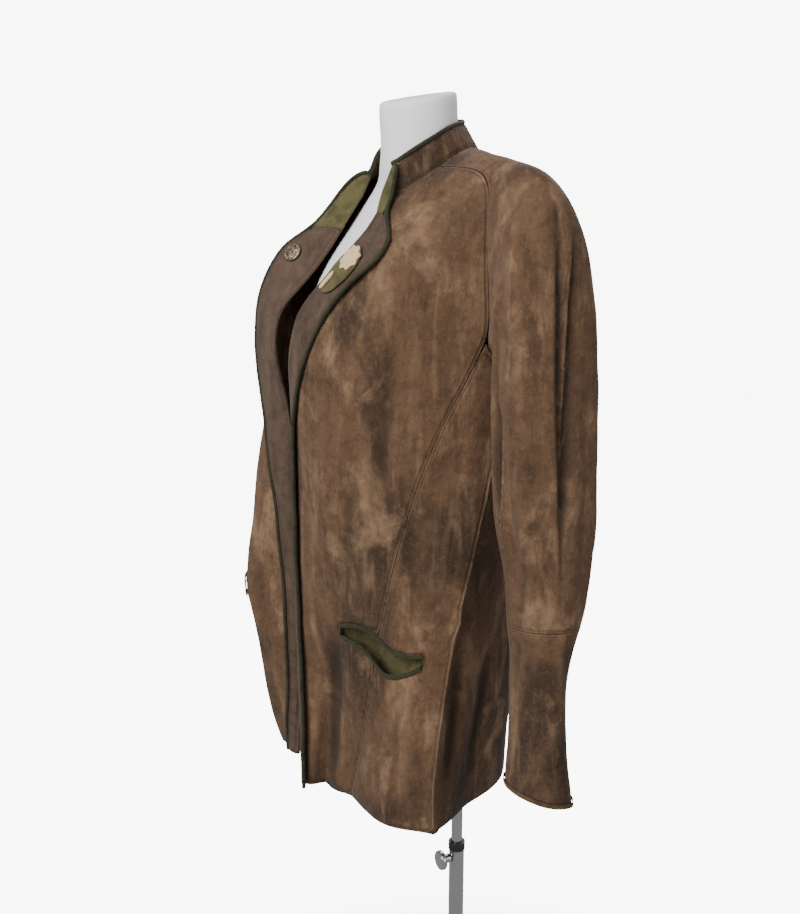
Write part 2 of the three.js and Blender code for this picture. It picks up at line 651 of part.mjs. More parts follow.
// Where the outer edge of the turned-back front lies, for each height z of the fold
const LEFT_EDGE = [
  { z: 620, x: 3, y: -231, ez: 621 },
  { z: 900, x: 5, y: -234, ez: 900 },
  { z: 1080, x: 5, y: -234, ez: 1080 },
  { z: 1120, x: 7, y: -236, ez: 1120 },
  { z: 1160, x: 23, y: -234, ez: 1158 },
  { z: 1205, x: 46, y: -228, ez: 1205 },
  { z: 1242, x: 64, y: -217, ez: 1249 },
  { z: 1279, x: 80, y: -196, ez: 1285 },
  { z: 1303, x: 92, y: -178, ez: 1303 },
  { z: 1322, x: 101, y: -160, ez: 1318 },
  { z: 1340, x: 98, y: -144, ez: 1334 },
  { z: 1352, x: 90, y: -139, ez: 1344 },
];
const RIGHT_EDGE = [
  { z: 632, x: -77, y: -215, ez: 632 },
  { z: 748, x: -52, y: -224, ez: 748 },
  { z: 857, x: -37, y: -230, ez: 857 },
  { z: 910, x: -34, y: -233, ez: 910 },
  { z: 975, x: -36, y: -237, ez: 975 },
  { z: 1022, x: -41, y: -236, ez: 1022 },
  { z: 1058, x: -53, y: -240, ez: 1058 },
  { z: 1120, x: -72, y: -243, ez: 1119 },
  { z: 1166, x: -88, y: -245, ez: 1160 },
  { z: 1213, x: -100, y: -244, ez: 1196 },
  { z: 1243, x: -108, y: -236, ez: 1244 },
  { z: 1278, x: -112, y: -217, ez: 1280 },
  { z: 1302, x: -111, y: -201, ez: 1306 },
  { z: 1322, x: -104, y: -188, ez: 1321 },
  { z: 1340, x: -98, y: -176, ez: 1330 },
];
// The collar's turned-back end, from the notch to its top corner
const LEFT_CORNER = [V(62, -137, 1357), V(62, -132, 1377), V(61, -128, 1396), V(56, -122, 1413)];
const RIGHT_CORNER = [V(-91, -166, 1333), V(-85, -148, 1354), V(-79, -132, 1376), V(-70, -121, 1391)];
const LEFT_NOTCH_ROW = BODY_ROWS - 1;
const RIGHT_NOTCH_ROW = BODY_ROWS - 2;
const FLAP_COLS = 4;
const FLAP_CLEAR = WALL + 2.7;  // from the middle of the panel to the middle of the flap

// A point on a grid at a place between its rows and columns, with the way out of the wall there
function onGrid(grid, j, i, side) {
  const j0 = Math.max(0, Math.min(Math.floor(j), grid.length - 2));
  const i0 = Math.max(0, Math.min(Math.floor(i), grid[0].length - 2));
  const [tj, ti] = [j - j0, i - i0];
  const low = grid[j0][i0].clone().lerp(grid[j0][i0 + 1], ti);
  const high = grid[j0 + 1][i0].clone().lerp(grid[j0 + 1][i0 + 1], ti);
  const across = grid[j0][i0 + 1].clone().lerp(grid[j0 + 1][i0 + 1], tj);
  across.sub(grid[j0][i0].clone().lerp(grid[j0 + 1][i0], tj));
  const normal = across.cross(high.clone().sub(low)).normalize().multiplyScalar(side);
  return { point: low.lerp(high, tj), normal };
}

// Samples of a grid, four to a cell each way, for laying pieces clear of it
function samples(grid, side, steps = 4) {
  const found = [];
  for (let j = 0; j <= (grid.length - 1) * steps; j += 1) {
    for (let i = 0; i <= (grid[0].length - 1) * steps; i += 1) {
      found.push(onGrid(grid, j / steps, i / steps, side));
    }
  }
  return found;
}

const NEAR_WALL = 25;           // a piece further off than this is clear of the wall

// Moves a point out of the cloth until it is clear of the middle of every sampled wall
function laidOn(p, wall, clear) {
  let best = null;
  let least = Infinity;
  for (const sample of wall) {
    const distance = sample.point.distanceToSquared(p);
    if (distance < least) {
      least = distance;
      best = sample;
    }
  }
  if (least > NEAR_WALL ** 2) return p;
  const height = p.clone().sub(best.point).dot(best.normal);
  return height < clear ? moved(p, best.normal, clear - height) : p;
}

// One row of the turned-back front: it turns round the fold and lies outside the panel
function flapRow({ p, along, normal }, edge, wall) {
  const start = moved(p, along, -1.1);
  const turn = moved(p, normal, 2 * ROLL_R);
  const row = [
    start,
    moved(moved(start, along, -0.8 * ROLL_R), normal, 0.5 * ROLL_R),
    moved(moved(start, along, -0.8 * ROLL_R), normal, 1.5 * ROLL_R),
    turn,
  ];
  const curl = 3 * clamp01(turn.distanceTo(edge) / 60);
  for (let i = 1; i <= FLAP_COLS; i += 1) {
    const t = i / FLAP_COLS;
    const point = moved(turn.clone().lerp(edge, t), normal, curl * Math.sin(Math.PI * t));
    row.push(laidOn(laidOn(point, wall, FLAP_CLEAR), wall, FLAP_CLEAR));
  }
  return row;
}

// The place and directions of the fold at one row of a panel
function foldAt(grid, j, end, next, side) {
  const last = grid.length - 1;
  const along = grid[j][next].clone().sub(grid[j][end]).normalize();
  const up = grid[Math.min(j + 1, last)][end].clone().sub(grid[Math.max(j - 1, 0)][end]).normalize();
  return { p: grid[j][end], along, normal: along.clone().cross(up).multiplyScalar(side).normalize() };
}

function flapSide({ front, side }, collar) {
  const table = side > 0 ? LEFT_EDGE : RIGHT_EDGE;
  const corner = side > 0 ? LEFT_CORNER : RIGHT_CORNER;
  const notch = side > 0 ? LEFT_NOTCH_ROW : RIGHT_NOTCH_ROW;
  const wall = samples(front, side);
  const lapel = [];
  for (let j = 0; j < notch; j += 1) {
    const { z } = front[j][0];
    const edge = V(lookUp(table, 'z', z, 'x'), lookUp(table, 'z', z, 'y'), lookUp(table, 'z', z, 'ez'));
    lapel.push(flapRow(foldAt(front, j, 0, 1, side), edge, wall));
  }
  const folds = [];
  for (let j = notch; j < BODY_ROWS; j += 1) folds.push(foldAt(front, j, 0, 1, side));
  const end = side > 0 ? 0 : collar[0].length - 1;
  for (let j = 0; j <= COLLAR_ROWS; j += 1) folds.push(foldAt(collar, j, end, end + side, side));
  const edges = new THREE.CatmullRomCurve3(corner, false, 'centripetal');
  const facing = folds.map((fold, k) => flapRow(fold, edges.getPoint(k / (folds.length - 1)), wall));
  lapel.push(facing[0].map((p) => p.clone()));
  return { lapel, facing };
}

// The rolled edge: up the front and the lapel, round the collar's end and along its top.
// Each place has a point on the cloth's edge and one further in, to find the way out of the cloth.
function pipingPath({ lapel, facing }, collar, side, wall) {
  const places = [...lapel.slice(0, -1), ...facing].map((row) => ({ edge: row.at(-1), inner: row.at(-2) }));
  for (const k of [FLAP_COLS, 1]) {
    places.push({ edge: facing.at(-1)[k].clone().add(V(0, 0, 2)), inner: facing.at(-2)[k] });
  }
  const middle = (collar[0].length - 1) / 2;
  for (let k = 1; k <= middle; k += 1) {
    const i = side > 0 ? k : collar[0].length - 1 - k;
    places.push({ edge: collar[COLLAR_ROWS][i], inner: collar[COLLAR_ROWS - 1][i] });
  }
  return places.map(({ edge, inner }, k) => {
    const before = places[Math.max(k - 1, 0)].edge;
    const after = places[Math.min(k + 1, places.length - 1)].edge;
    const way = after.clone().sub(before).normalize();
    const out = edge.clone().sub(inner);
    out.addScaledVector(way, -out.dot(way)).normalize();
    const p = laidOn(moved(edge, out, PIPING_R + SEAM + 0.5), wall, PIPING_R + WALL / 2 + LAY + 2);
    return k === places.length - 1 ? p.setX(side * SEAM) : p;
  });
}

// Places on the front and side panels counted in columns from the front end of the pocket's mouth
function onMouth({ front, sideGrid, side }, row, column) {
  const seam = FRONT_COLS - FRONT_MOUTH;
  if (column <= seam) return onGrid(front, row, FRONT_MOUTH + column, side);
  return onGrid(sideGrid, row, column - seam, side);
}

// A flat welt round the mouth of the pocket
const WELT_OVER = 1.2;
const WELT_LOW = 5;
const WELT_HIGH = 3;

function weltGrid(body) {
  const out = WALL / 2 + LAY + TRIM_WALL / 2 + 0.3;
  const inner = [];
  const outer = [];
  for (let i = 0; i <= MOUTH_COLS; i += 1) {
    const { point, normal } = onMouth(body, LIP_ROW, i);
    inner.push(moved(point, normal, out).add(V(0, 0, WELT_OVER)));
    outer.push(moved(onMouth(body, LIP_ROW - WELT_LOW / 38, i).point, normal, out));
  }
  for (let i = MOUTH_COLS; i >= 0; i -= 1) {
    const { point, normal } = onMouth(body, LIP_ROW + 1, i);
    inner.push(moved(point, normal, out).add(V(0, 0, -WELT_OVER)));
    outer.push(moved(onMouth(body, LIP_ROW + 1 + WELT_HIGH / 40, i).point, normal, out));
  }
  return [outer, inner];
}

// The pocket's lining hangs behind the mouth and swells inwards
const BAG_ABOVE = 0.35;
const BAG_BELOW = 2.4;
const BAG_DEPTH = 22;

function bagGrid(body) {
  const rows = 6;
  const gap = WALL / 2 + LAY + TRIM_WALL / 2 + 0.6;
  return Array.from({ length: rows + 1 }, (_, j) => {
    const t = j / rows;
    const row = lerp(LIP_ROW - BAG_BELOW, LIP_ROW + 1 + BAG_ABOVE, t);
    return Array.from({ length: MOUTH_COLS + 1 }, (__, i) => {
      const s = i / MOUTH_COLS;
      const { point, normal } = onMouth(body, row, lerp(-0.6, MOUTH_COLS + 0.35, s));
      const swell = BAG_DEPTH * Math.sin(Math.PI * s) ** 0.7 * Math.sin(Math.PI * clamp01(t * 1.02)) ** 0.6;
      return moved(point, normal, -gap - swell);
    });
  });
}

// A band round the outside of a sleeve's open end
const BINDING_WIDTH = 6;
const BINDING_DROP = 1.4;

function bindingGrid(lower) {
  const rim = lower.at(-1);
  const before = lower.at(-2);
  const middle = rim.reduce((sum, p) => sum.add(p), V(0, 0, 0)).divideScalar(rim.length);
  const out = WALL / 2 + LAY + TRIM_WALL / 2 + 0.5;
  const at = (distance) => rim.map((p, i) => {
    const up = before[i].clone().sub(p).normalize();
    const next = rim[(i + 1) % rim.length].clone().sub(rim.at(i - 1)).normalize();
    const way = next.cross(up).normalize();
    if (way.dot(p.clone().sub(middle)) < 0) way.negate();
    return moved(moved(p, up, distance), way, out);
  });
  return [at(BINDING_WIDTH), at(-BINDING_DROP)];
}

// Pieces on the lapels: row and column on the lapel's grid, and half their length and width
const BUTTON_AT = { row: 18.3, column: 5.5 };
const APPLIQUE = [
  {
    node: 'applique_patch', colour: 'olive', layer: 1,
    row: 17.9, column: 5.0, long: 34, wide: 22, lobes: 0,
  },
  {
    node: 'applique_blossom', colour: 'cream', layer: 2,
    row: 18.5, column: 5.15, long: 17, wide: 17, lobes: 8,
  },
  {
    node: 'applique_leaf', colour: 'cream', layer: 2,
    row: 17.15, column: 4.75, long: 13, wide: 8, lobes: -1,
  },
];
const APPLIQUE_CELLS = 8;       // cells along each side of a shape's net

// How far out the outline of a shape lies at an angle: lobes above 0 give a blossom's petals,
// below 0 a leaf's points
function outlineReach(lobes, angle) {
  if (lobes > 0) return 0.9 + 0.1 * Math.cos(lobes * angle);
  if (lobes < 0) return 0.55 + 0.45 * Math.abs(Math.cos(angle)) ** 3;
  return 1;
}

// A flat shape laid on a lapel: a square net drawn out to the round outline
function laidShape({ row, column, long, wide, lobes, layer }, grid, side) {
  const { point, normal } = onGrid(grid, row, column, side);
  const up = onGrid(grid, row + 0.5, column, side).point.sub(point).normalize();
  const across = normal.clone().cross(up).normalize();
  const wall = samples(grid.slice(14), side, 6);
  const clear = WALL / 2 + TRIM_WALL / 2 + LAY + 0.4 + (layer - 1) * (TRIM_WALL + LAY);
  const lines = Array.from({ length: APPLIQUE_CELLS + 1 }, (_, k) => (2 * k) / APPLIQUE_CELLS - 1);
  return lines.map((v) => lines.map((u) => {
    const share = Math.max(Math.abs(u), Math.abs(v));
    let angle = 0;
    if (share > 0 && Math.abs(u) >= Math.abs(v)) angle = (Math.PI / 4) * (v / u) + (u < 0 ? Math.PI : 0);
    else if (share > 0) angle = Math.PI / 2 - (Math.PI / 4) * (u / v) + (v < 0 ? Math.PI : 0);
    const reach = share * outlineReach(lobes, angle);
    const flat = moved(point, up, reach * long * Math.cos(angle));
    flat.addScaledVector(across, reach * wide * Math.sin(angle));
    return settled(flat, wall, clear);
  }));
}

// Puts a point at a set height over the nearest sampled place
function settled(p, wall, height) {
  const near = wall.reduce((a, b) => (a.point.distanceToSquared(p) < b.point.distanceToSquared(p) ? a : b));
  const level = p.clone().sub(near.point).dot(near.normal);
  return moved(p, near.normal, height - level);
}

const BUTTON_PROFILE = [
  [0, 0], [0.86, 0], [1, 0.28], [1, 0.6], [0.9, 0.8], [0.72, 0.72], [0.6, 0.9], [0.3, 1], [0, 1],
];

function buildLapelPieces() {
  const { point, normal } = onGrid(rightFlap.lapel, BUTTON_AT.row, BUTTON_AT.column, -1);
  const button = turned(BUTTON_PROFILE.map(([r, h]) => [r * BUTTON_R, h * BUTTON_H]), 24);
  button.applyQuaternion(new THREE.Quaternion().setFromUnitVectors(V(0, 0, 1), normal));
  const seat = moved(point, normal, WALL / 2 + LAY + 0.4);
  button.translate(seat.x, seat.y, seat.z);
  add('lapel_button', 'pewter', button);
  for (const shape of APPLIQUE) {
    const net = laidShape(shape, leftFlap.lapel, 1);
    add(shape.node, shape.colour, clothWall([{ grid: net }], TRIM_WALL, 0));
  }
}

// The form without arms: half-width hw, middle y, half-depth hd at each height, and how far the
// back of the section stands above its front
const FORM = [
  { z: 700, hw: 112, y: -40, hd: 80, slant: 0 },
  { z: 708, hw: 121, y: -40, hd: 88, slant: 0 },
  { z: 760, hw: 127, y: -40, hd: 92, slant: 0 },
  { z: 850, hw: 127, y: -42, hd: 92, slant: 0 },
  { z: 950, hw: 112, y: -48, hd: 84, slant: 0 },
  { z: 1010, hw: 104, y: -55, hd: 80, slant: 0 },
  { z: 1080, hw: 112, y: -66, hd: 90, slant: 0 },
  { z: 1150, hw: 126, y: -80, hd: 108, slant: 0 },
  { z: 1200, hw: 134, y: -86, hd: 118, slant: 0 },
  { z: 1250, hw: 138, y: -84, hd: 114, slant: 0 },
  { z: 1300, hw: 140, y: -69, hd: 100, slant: 0 },
  { z: 1340, hw: 138, y: -55, hd: 78, slant: 0 },
  { z: 1368, hw: 126, y: -48, hd: 66, slant: 0 },
  { z: 1388, hw: 100, y: -46, hd: 57, slant: 0 },
  { z: 1404, hw: 72, y: -54, hd: 55, slant: 2 },
  { z: 1420, hw: 54, y: -61, hd: 49, slant: 5 },
  { z: 1440, hw: 47, y: -64, hd: 46, slant: 8 },
  { z: 1487, hw: 46, y: -66, hd: 48, slant: 14 },
  { z: 1490, hw: 43, y: -66, hd: 45, slant: 14 },
];
const FORM_SIDES = 20;

function formRings() {
  return FORM.map((r) => Array.from({ length: FORM_SIDES }, (_, i) => {
    const angle = (2 * Math.PI * i) / FORM_SIDES;
    const s = Math.sin(angle);
    return V(r.hw * Math.cos(angle), r.y + r.hd * s, r.z + (r.slant * s) / 2);
  }));
}

const left = bodySide(1);
const right = bodySide(-1);
const leftSleeve = sleeveSide(left);
const rightSleeve = sleeveSide(right);
const collar = collarGrid(leftSleeve, rightSleeve);
const leftFlap = flapSide(left, collar);
const rightFlap = flapSide(right, collar);

function clothPieces() {
  const pieces = [
    ['back', 'suede', [{ grid: left.back }, { grid: right.back, turn: true }]],
    ['collar', 'suede', [{ grid: collar }], SEAM],
  ];
  const sides = [['left', left, leftSleeve, leftFlap], ['right', right, rightSleeve, rightFlap]];
  for (const [word, body, sleeve, flap] of sides) {
    const turn = body.side < 0;
    const skipFront = (i, j) => j === LIP_ROW && i >= FRONT_MOUTH;
    const skipSide = (i, j) => j === LIP_ROW && i < SIDE_MOUTH;
    pieces.push(
      [`${word}_front`, 'suede', [{ grid: body.front, turn, skip: skipFront }]],
      [`${word}_side_front`, 'suede', [{ grid: body.sideGrid, turn, skip: skipSide }]],
      [`${word}_sleeve`, 'suede', [
        { grid: sleeve.upper, loop: true, turn: !turn },
        { grid: sleeve.saddle, turn: !turn },
      ], 2 * SEAM],
      [`${word}_forearm`, 'suede', [{ grid: sleeve.lower, loop: true, turn: !turn }]],
      [`${word}_lapel`, 'facing', [{ grid: flap.lapel, turn }]],
      [`${word}_collar_facing`, 'olive', [{ grid: flap.facing, turn }]],
    );
  }
  return pieces;
}

function buildCloth() {
  const pieces = clothPieces();
  for (const [, , patches] of pieces) shareOutward(patches);
  for (const [name, colour, patches, inset] of pieces) add(name, colour, clothWall(patches, WALL, inset));
}

function buildTrim() {
  const sides = [['left', left, leftSleeve, leftFlap], ['right', right, rightSleeve, rightFlap]];
  for (const [word, body, sleeve, flap] of sides) {
    const wall = samples(body.front, body.side);
    add(`${word}_piping`, 'olive', cord(pipingPath(flap, collar, body.side, wall), PIPING_R, 5));
    add(`${word}_pocket_welt`, 'olive', clothWall([{ grid: weltGrid(body), loop: true }], TRIM_WALL, 0));
    add(`${word}_pocket_lining`, 'olive', clothWall([{ grid: bagGrid(body) }], TRIM_WALL, 0));
    const binding = [{ grid: bindingGrid(sleeve.lower), loop: true }];
    add(`${word}_cuff_binding`, 'olive', clothWall(binding, TRIM_WALL, 0));
  }
}

function buildStand() {
  add('torso_form', 'form', ringSolid(formRings()));
  add('base_plate', 'chrome', turned([
    [0, 0], [BASE_R - 4, 0], [BASE_R, 3], [BASE_R, 5], [BASE_R - 8, BASE_H - 0.5], [22, BASE_H + 1],
    [19, BASE_H + 13], [TUBE_R + 0.4, BASE_H + 13], [TUBE_R + 0.4, BASE_H], [0, BASE_H],
  ], 40));
  add('lower_tube', 'chrome', turned([
    [TUBE_BORE, BASE_H + 0.4], [TUBE_R, BASE_H + 0.4], [TUBE_R, TUBE_TOP], [TUBE_BORE, TUBE_TOP],
    [TUBE_BORE, BASE_H + 0.4],
  ], 20));
  add('tube_ring', 'black', turned([
    [POLE_R + 0.1, TUBE_TOP + 0.3], [RING_R, TUBE_TOP + 0.3], [RING_R, RING_TOP], [POLE_R + 0.1, RING_TOP],
    [POLE_R + 0.1, TUBE_TOP + 0.3],
  ], 20));
  add('upper_pole', 'chrome', turned([
    [0, POLE_BOTTOM], [POLE_R, POLE_BOTTOM], [POLE_R, SOCKET_BOTTOM + 18], [0, SOCKET_BOTTOM + 18],
  ], 20));
  add('pole_socket', 'black', turned([
    [POLE_R + 0.4, SOCKET_BOTTOM], [SOCKET_R - 2, SOCKET_BOTTOM], [SOCKET_R, SOCKET_BOTTOM + 2],
    [SOCKET_R, FORM_BOTTOM - 4], [SOCKET_R + 20, FORM_BOTTOM - 0.3], [0, FORM_BOTTOM - 0.3],
    [0, SOCKET_BOTTOM + 18.4], [POLE_R + 0.4, SOCKET_BOTTOM + 18.4], [POLE_R + 0.4, SOCKET_BOTTOM],
  ], 24));
  const boss = turned([
    [STEM_R + 0.4, 0], [BOSS_R, 0], [BOSS_R, BOSS_H], [STEM_R + 0.4, BOSS_H], [STEM_R + 0.4, 0],
  ], 16);
  const knob = turned([
    [0, 0], [STEM_R, 0], [STEM_R, BOSS_H + 0.4], [KNOB_R - 1.5, BOSS_H + 0.4], [KNOB_R, BOSS_H + 2],
    [KNOB_R, BOSS_H + KNOB_H - 2], [KNOB_R - 2, BOSS_H + KNOB_H], [0, BOSS_H + KNOB_H],
  ], 20);
  for (const geometry of [boss, knob]) geometry.rotateX(Math.PI / 2).translate(0, -TUBE_R - 0.4, KNOB_Z);
  add('clamp_boss', 'chrome', boss);
  add('clamp_knob', 'chrome', knob);
}

buildCloth();
buildTrim();
buildLapelPieces();
buildStand();

export default root;
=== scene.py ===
import json
import math

import bmesh
import bpy
import numpy as np
from bpy.props import FloatProperty, FloatVectorProperty, PointerProperty
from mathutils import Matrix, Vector, kdtree, noise
from mathutils.bvhtree import BVHTree

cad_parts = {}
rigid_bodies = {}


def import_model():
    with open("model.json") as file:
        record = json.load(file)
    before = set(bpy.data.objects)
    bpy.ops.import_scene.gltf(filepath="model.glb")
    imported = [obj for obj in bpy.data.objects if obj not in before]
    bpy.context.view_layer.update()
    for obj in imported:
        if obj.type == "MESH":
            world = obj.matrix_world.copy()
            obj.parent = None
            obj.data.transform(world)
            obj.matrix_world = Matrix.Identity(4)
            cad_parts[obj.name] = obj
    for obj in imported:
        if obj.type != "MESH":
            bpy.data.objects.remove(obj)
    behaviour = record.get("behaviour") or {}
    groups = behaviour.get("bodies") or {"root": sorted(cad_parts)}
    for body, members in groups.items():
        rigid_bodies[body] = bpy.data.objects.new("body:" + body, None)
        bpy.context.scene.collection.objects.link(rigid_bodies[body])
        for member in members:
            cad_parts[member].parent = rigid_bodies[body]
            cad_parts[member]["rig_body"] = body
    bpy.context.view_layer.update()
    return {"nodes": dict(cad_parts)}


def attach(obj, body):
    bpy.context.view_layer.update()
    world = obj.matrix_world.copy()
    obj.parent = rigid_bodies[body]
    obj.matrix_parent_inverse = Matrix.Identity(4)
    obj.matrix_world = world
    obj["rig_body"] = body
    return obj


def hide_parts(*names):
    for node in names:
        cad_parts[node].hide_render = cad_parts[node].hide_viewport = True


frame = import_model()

bl_info = {
    "name": "Folk Costume Jacket",
    "version": (1, 0, 0),
    "blender": (4, 5, 0),
    "location": "3D View > Sidebar > Jacket",
    "description": "A suede jacket with olive edges on a limbless dress form and its stand",
    "category": "Object",
}

# The photograph's frame: pixels wide and high, and the lens that the picture was taken with
IMAGE_WIDTH = 800
IMAGE_HEIGHT = 914
FOCAL_PIXELS = 1190
SENSOR_MM = 36.0

# The cloth pieces: CAD node, its finish, the cut's width and length in metres and its flat area
CLOTH = [
    {"node": "back", "finish": "suede", "cut": (0.58, 0.84), "area": 0.37},
    {"node": "left_front", "finish": "suede", "cut": (0.22, 0.80), "area": 0.13},
    {"node": "right_front", "finish": "suede", "cut": (0.22, 0.79), "area": 0.125},
    {"node": "left_side_front", "finish": "suede", "cut": (0.14, 0.60), "area": 0.053},
    {"node": "right_side_front", "finish": "suede", "cut": (0.14, 0.60), "area": 0.058},
    {"node": "left_sleeve", "finish": "suede", "cut": (0.44, 0.62), "area": 0.16},
    {"node": "right_sleeve", "finish": "suede", "cut": (0.44, 0.62), "area": 0.16},
    {"node": "left_forearm", "finish": "suede", "cut": (0.25, 0.23), "area": 0.049},
    {"node": "right_forearm", "finish": "suede", "cut": (0.25, 0.23), "area": 0.049},
    {"node": "collar", "finish": "suede", "cut": (0.36, 0.04), "area": 0.0085},
    {"node": "left_lapel", "finish": "facing", "cut": (0.08, 0.74), "area": 0.0215},
    {"node": "right_lapel", "finish": "facing", "cut": (0.09, 0.72), "area": 0.03},
    {"node": "left_collar_facing", "finish": "olive", "cut": (0.03, 0.06), "area": 0.0009},
    {"node": "right_collar_facing", "finish": "olive", "cut": (0.05, 0.08), "area": 0.0026},
    {"node": "left_pocket_lining", "finish": "olive", "cut": (0.14, 0.12), "area": 0.016},
    {"node": "right_pocket_lining", "finish": "olive", "cut": (0.15, 0.13), "area": 0.018},
]
# Narrow olive pieces sewn to the edges
TRIM = [
    "left_piping", "right_piping", "left_pocket_welt", "right_pocket_welt",
    "left_cuff_binding", "right_cuff_binding",
]
# The applique's pieces and their finishes
APPLIQUE = [("applique_patch", "olive"), ("applique_blossom", "cream"), ("applique_leaf", "cream")]
# Stand pieces and their finishes
STAND = [
    {"node": "base_plate", "finish": "chrome"},
    {"node": "lower_tube", "finish": "chrome"},
    {"node": "upper_pole", "finish": "chrome"},
    {"node": "clamp_boss", "finish": "chrome"},
    {"node": "clamp_knob", "finish": "chrome"},
    {"node": "tube_ring", "finish": "black"},
    {"node": "pole_socket", "finish": "black"},
]
# Where the upright middles of the body and of the left sleeve pass, in metres
BODY_AXIS = (0.0, -0.08)
SLEEVE_AXIS = (0.235, -0.02)

# Distances in metres where the sleeve's dents begin, where the body's end beside it, where both
# change over, and the height from which the body is left smooth under the arm
ARM_FROM, ARM_BLEND, ARM_AXIS_FROM = 0.178, 0.03, 0.17
FLANK_FROM, FLANK_BLEND = 0.13, 0.035
ARMPIT_FROM, ARMPIT_BLEND = 1.05, 0.15

# Folds listed one by one, in millimetres: which tube of cloth a fold is on, its half width, its
# depth, which is negative for a trough and positive for a ridge, its step and the points that it
# runs through. A fold with a step falls off sharply on one side of its line, towards the front for
# -1 and towards the back for 1, and rises again softly. The left side's folds are placed by the
# photograph, and the others are like them.
FOLDS = [
    {"on": "arm", "wide": 15, "deep": -7.0, "step": -1,
     "run": [(208, -66, 1372), (222, -72, 1277), (230, -77, 1171), (226, -75, 1032),
             (222, -70, 960)]},
    {"on": "arm", "wide": 9, "deep": -1.8, "step": 0,
     "run": [(243, -50, 1342), (258, -54, 1240), (267, -58, 1123)]},
    {"on": "arm", "wide": 12, "deep": -6.0, "step": 1,
     "run": [(231, -21, 1391), (257, -30, 1301), (268, -33, 1197), (276, -31, 1100),
             (283, -29, 970)]},
    {"on": "arm", "wide": 16, "deep": -5.0, "step": 1,
     "run": [(241, 2, 1372), (262, -12, 1280), (270, -19, 1196), (276, -24, 1122),
             (282, -27, 1060)]},
    {"on": "arm", "wide": 7, "deep": -2.6, "step": 0, "run": [(262, -61, 985), (254, -60, 935)]},
    {"on": "arm", "wide": 8, "deep": -2.8, "step": 0, "run": [(250, -58, 896), (232, -53, 826)]},
    {"on": "arm", "wide": 7, "deep": 2.6, "step": 0,
     "run": [(288, -28, 906), (286, -23, 856), (282, -16, 777)]},
    {"on": "arm", "wide": 5, "deep": -1.8, "step": 0,
     "run": [(234, -57, 726), (270, -50, 735), (283, -15, 745)]},
    {"on": "arm", "wide": 10, "deep": -3.2, "step": 0,
     "run": [(262, 34, 1290), (270, 40, 1180), (276, 34, 1060)]},
    {"on": "arm", "wide": 12, "deep": 3.0, "step": 0,
     "run": [(240, 52, 1300), (244, 60, 1190), (246, 52, 1040)]},
    {"on": "arm", "wide": 10, "deep": -3.0, "step": 0,
     "run": [(206, 44, 1290), (208, 50, 1160), (214, 44, 1010)]},
    {"on": "body", "wide": 13, "deep": -6.5, "step": 0,
     "run": [(54, -202, 860), (38, -201, 755), (18, -200, 630)]},
    {"on": "body", "wide": 9, "deep": 3.2, "step": 0,
     "run": [(30, -212, 816), (13, -212, 731), (5, -216, 635)]},
    {"on": "body", "wide": 14, "deep": -2.6, "step": 0,
     "run": [(134, -152, 1238), (130, -169, 1125), (121, -174, 1016)]},
    {"on": "body", "wide": 13, "deep": -3.0, "step": 0,
     "run": [(101, -197, 1074), (80, -199, 957), (67, -201, 889)]},
    {"on": "body", "wide": 11, "deep": -2.4, "step": 0,
     "run": [(133, -151, 968), (152, -128, 921), (170, -97, 891)]},
    {"on": "body", "wide": 13, "deep": -5.0, "step": 0,
     "run": [(167, -86, 868), (166, -94, 791), (164, -104, 671)]},
    {"on": "body", "wide": 12, "deep": -5.0, "step": 0,
     "run": [(140, -34, 834), (136, -40, 765), (133, -54, 669)]},
    {"on": "body", "wide": 12, "deep": 2.8, "step": 0,
     "run": [(147, -146, 806), (151, -153, 731), (147, -158, 648)]},
    {"on": "body", "wide": 8, "deep": -1.8, "step": 0,
     "run": [(92, -130, 1360), (130, -126, 1324), (145, -120, 1271)]},
    {"on": "body", "wide": 18, "deep": -4.0, "step": 0,
     "run": [(60, 60, 1240), (56, 52, 1080), (64, 60, 930), (72, 62, 700)]},
    {"on": "body", "wide": 16, "deep": 3.2, "step": 0,
     "run": [(22, 66, 1150), (26, 60, 980), (18, 70, 660)]},
    {"on": "body", "wide": 14, "deep": -3.4, "step": 0,
     "run": [(108, 40, 1080), (112, 34, 900), (110, 40, 680)]},
]
# How far down the right side's folds lie from the left side's, in millimetres
MIRRORED_SHIFT = 14
# Share of a fold's height over which each end fades; one less high than this in metres doesn't
FOLD_END = 0.3
SHORT_FOLD = 0.05
# How far a fold's sharp side reaches across its line, and how much of it lies on the line itself
STEP_REACH = 0.0035
STEP_ON_LINE = 0.35
# The small dents: how much finer each kind is than the broadest, and its share of the depth
DENT_SCALES = ((1.0, 1.5), (3.1, 0.7), (7.5, 0.3))
# A trough of this depth in millimetres gets the full painted shade, and a ridge of this height the
# full painted highlight
FULL_FOLD_SHADING = 5
# Reach in metres within which a rim is drawn onto a rolled edge, and onto a sewn neighbour
CORD_REACH = 0.004
SEAM_REACH = 0.002
# A CAD node's points closer than this are one point, in metres
MERGE_DISTANCE = 0.00001
# Angles in degrees: the bend and the skew up to which two triangles become a quad
QUAD_DEGREES = 40
QUAD_SHAPE_DEGREES = 60
# Angles in degrees: edges that stay sharp, and edges that count as a raw rim for the topstitching
SHARP_DEGREES = 50.0
RIM_DEGREES = 68.0
# The round backdrop in metres: its radius, the height of its wall and the curve between them
BACKDROP_RADIUS = 7
BACKDROP_HEIGHT = 6
BACKDROP_CURVE = 2.4


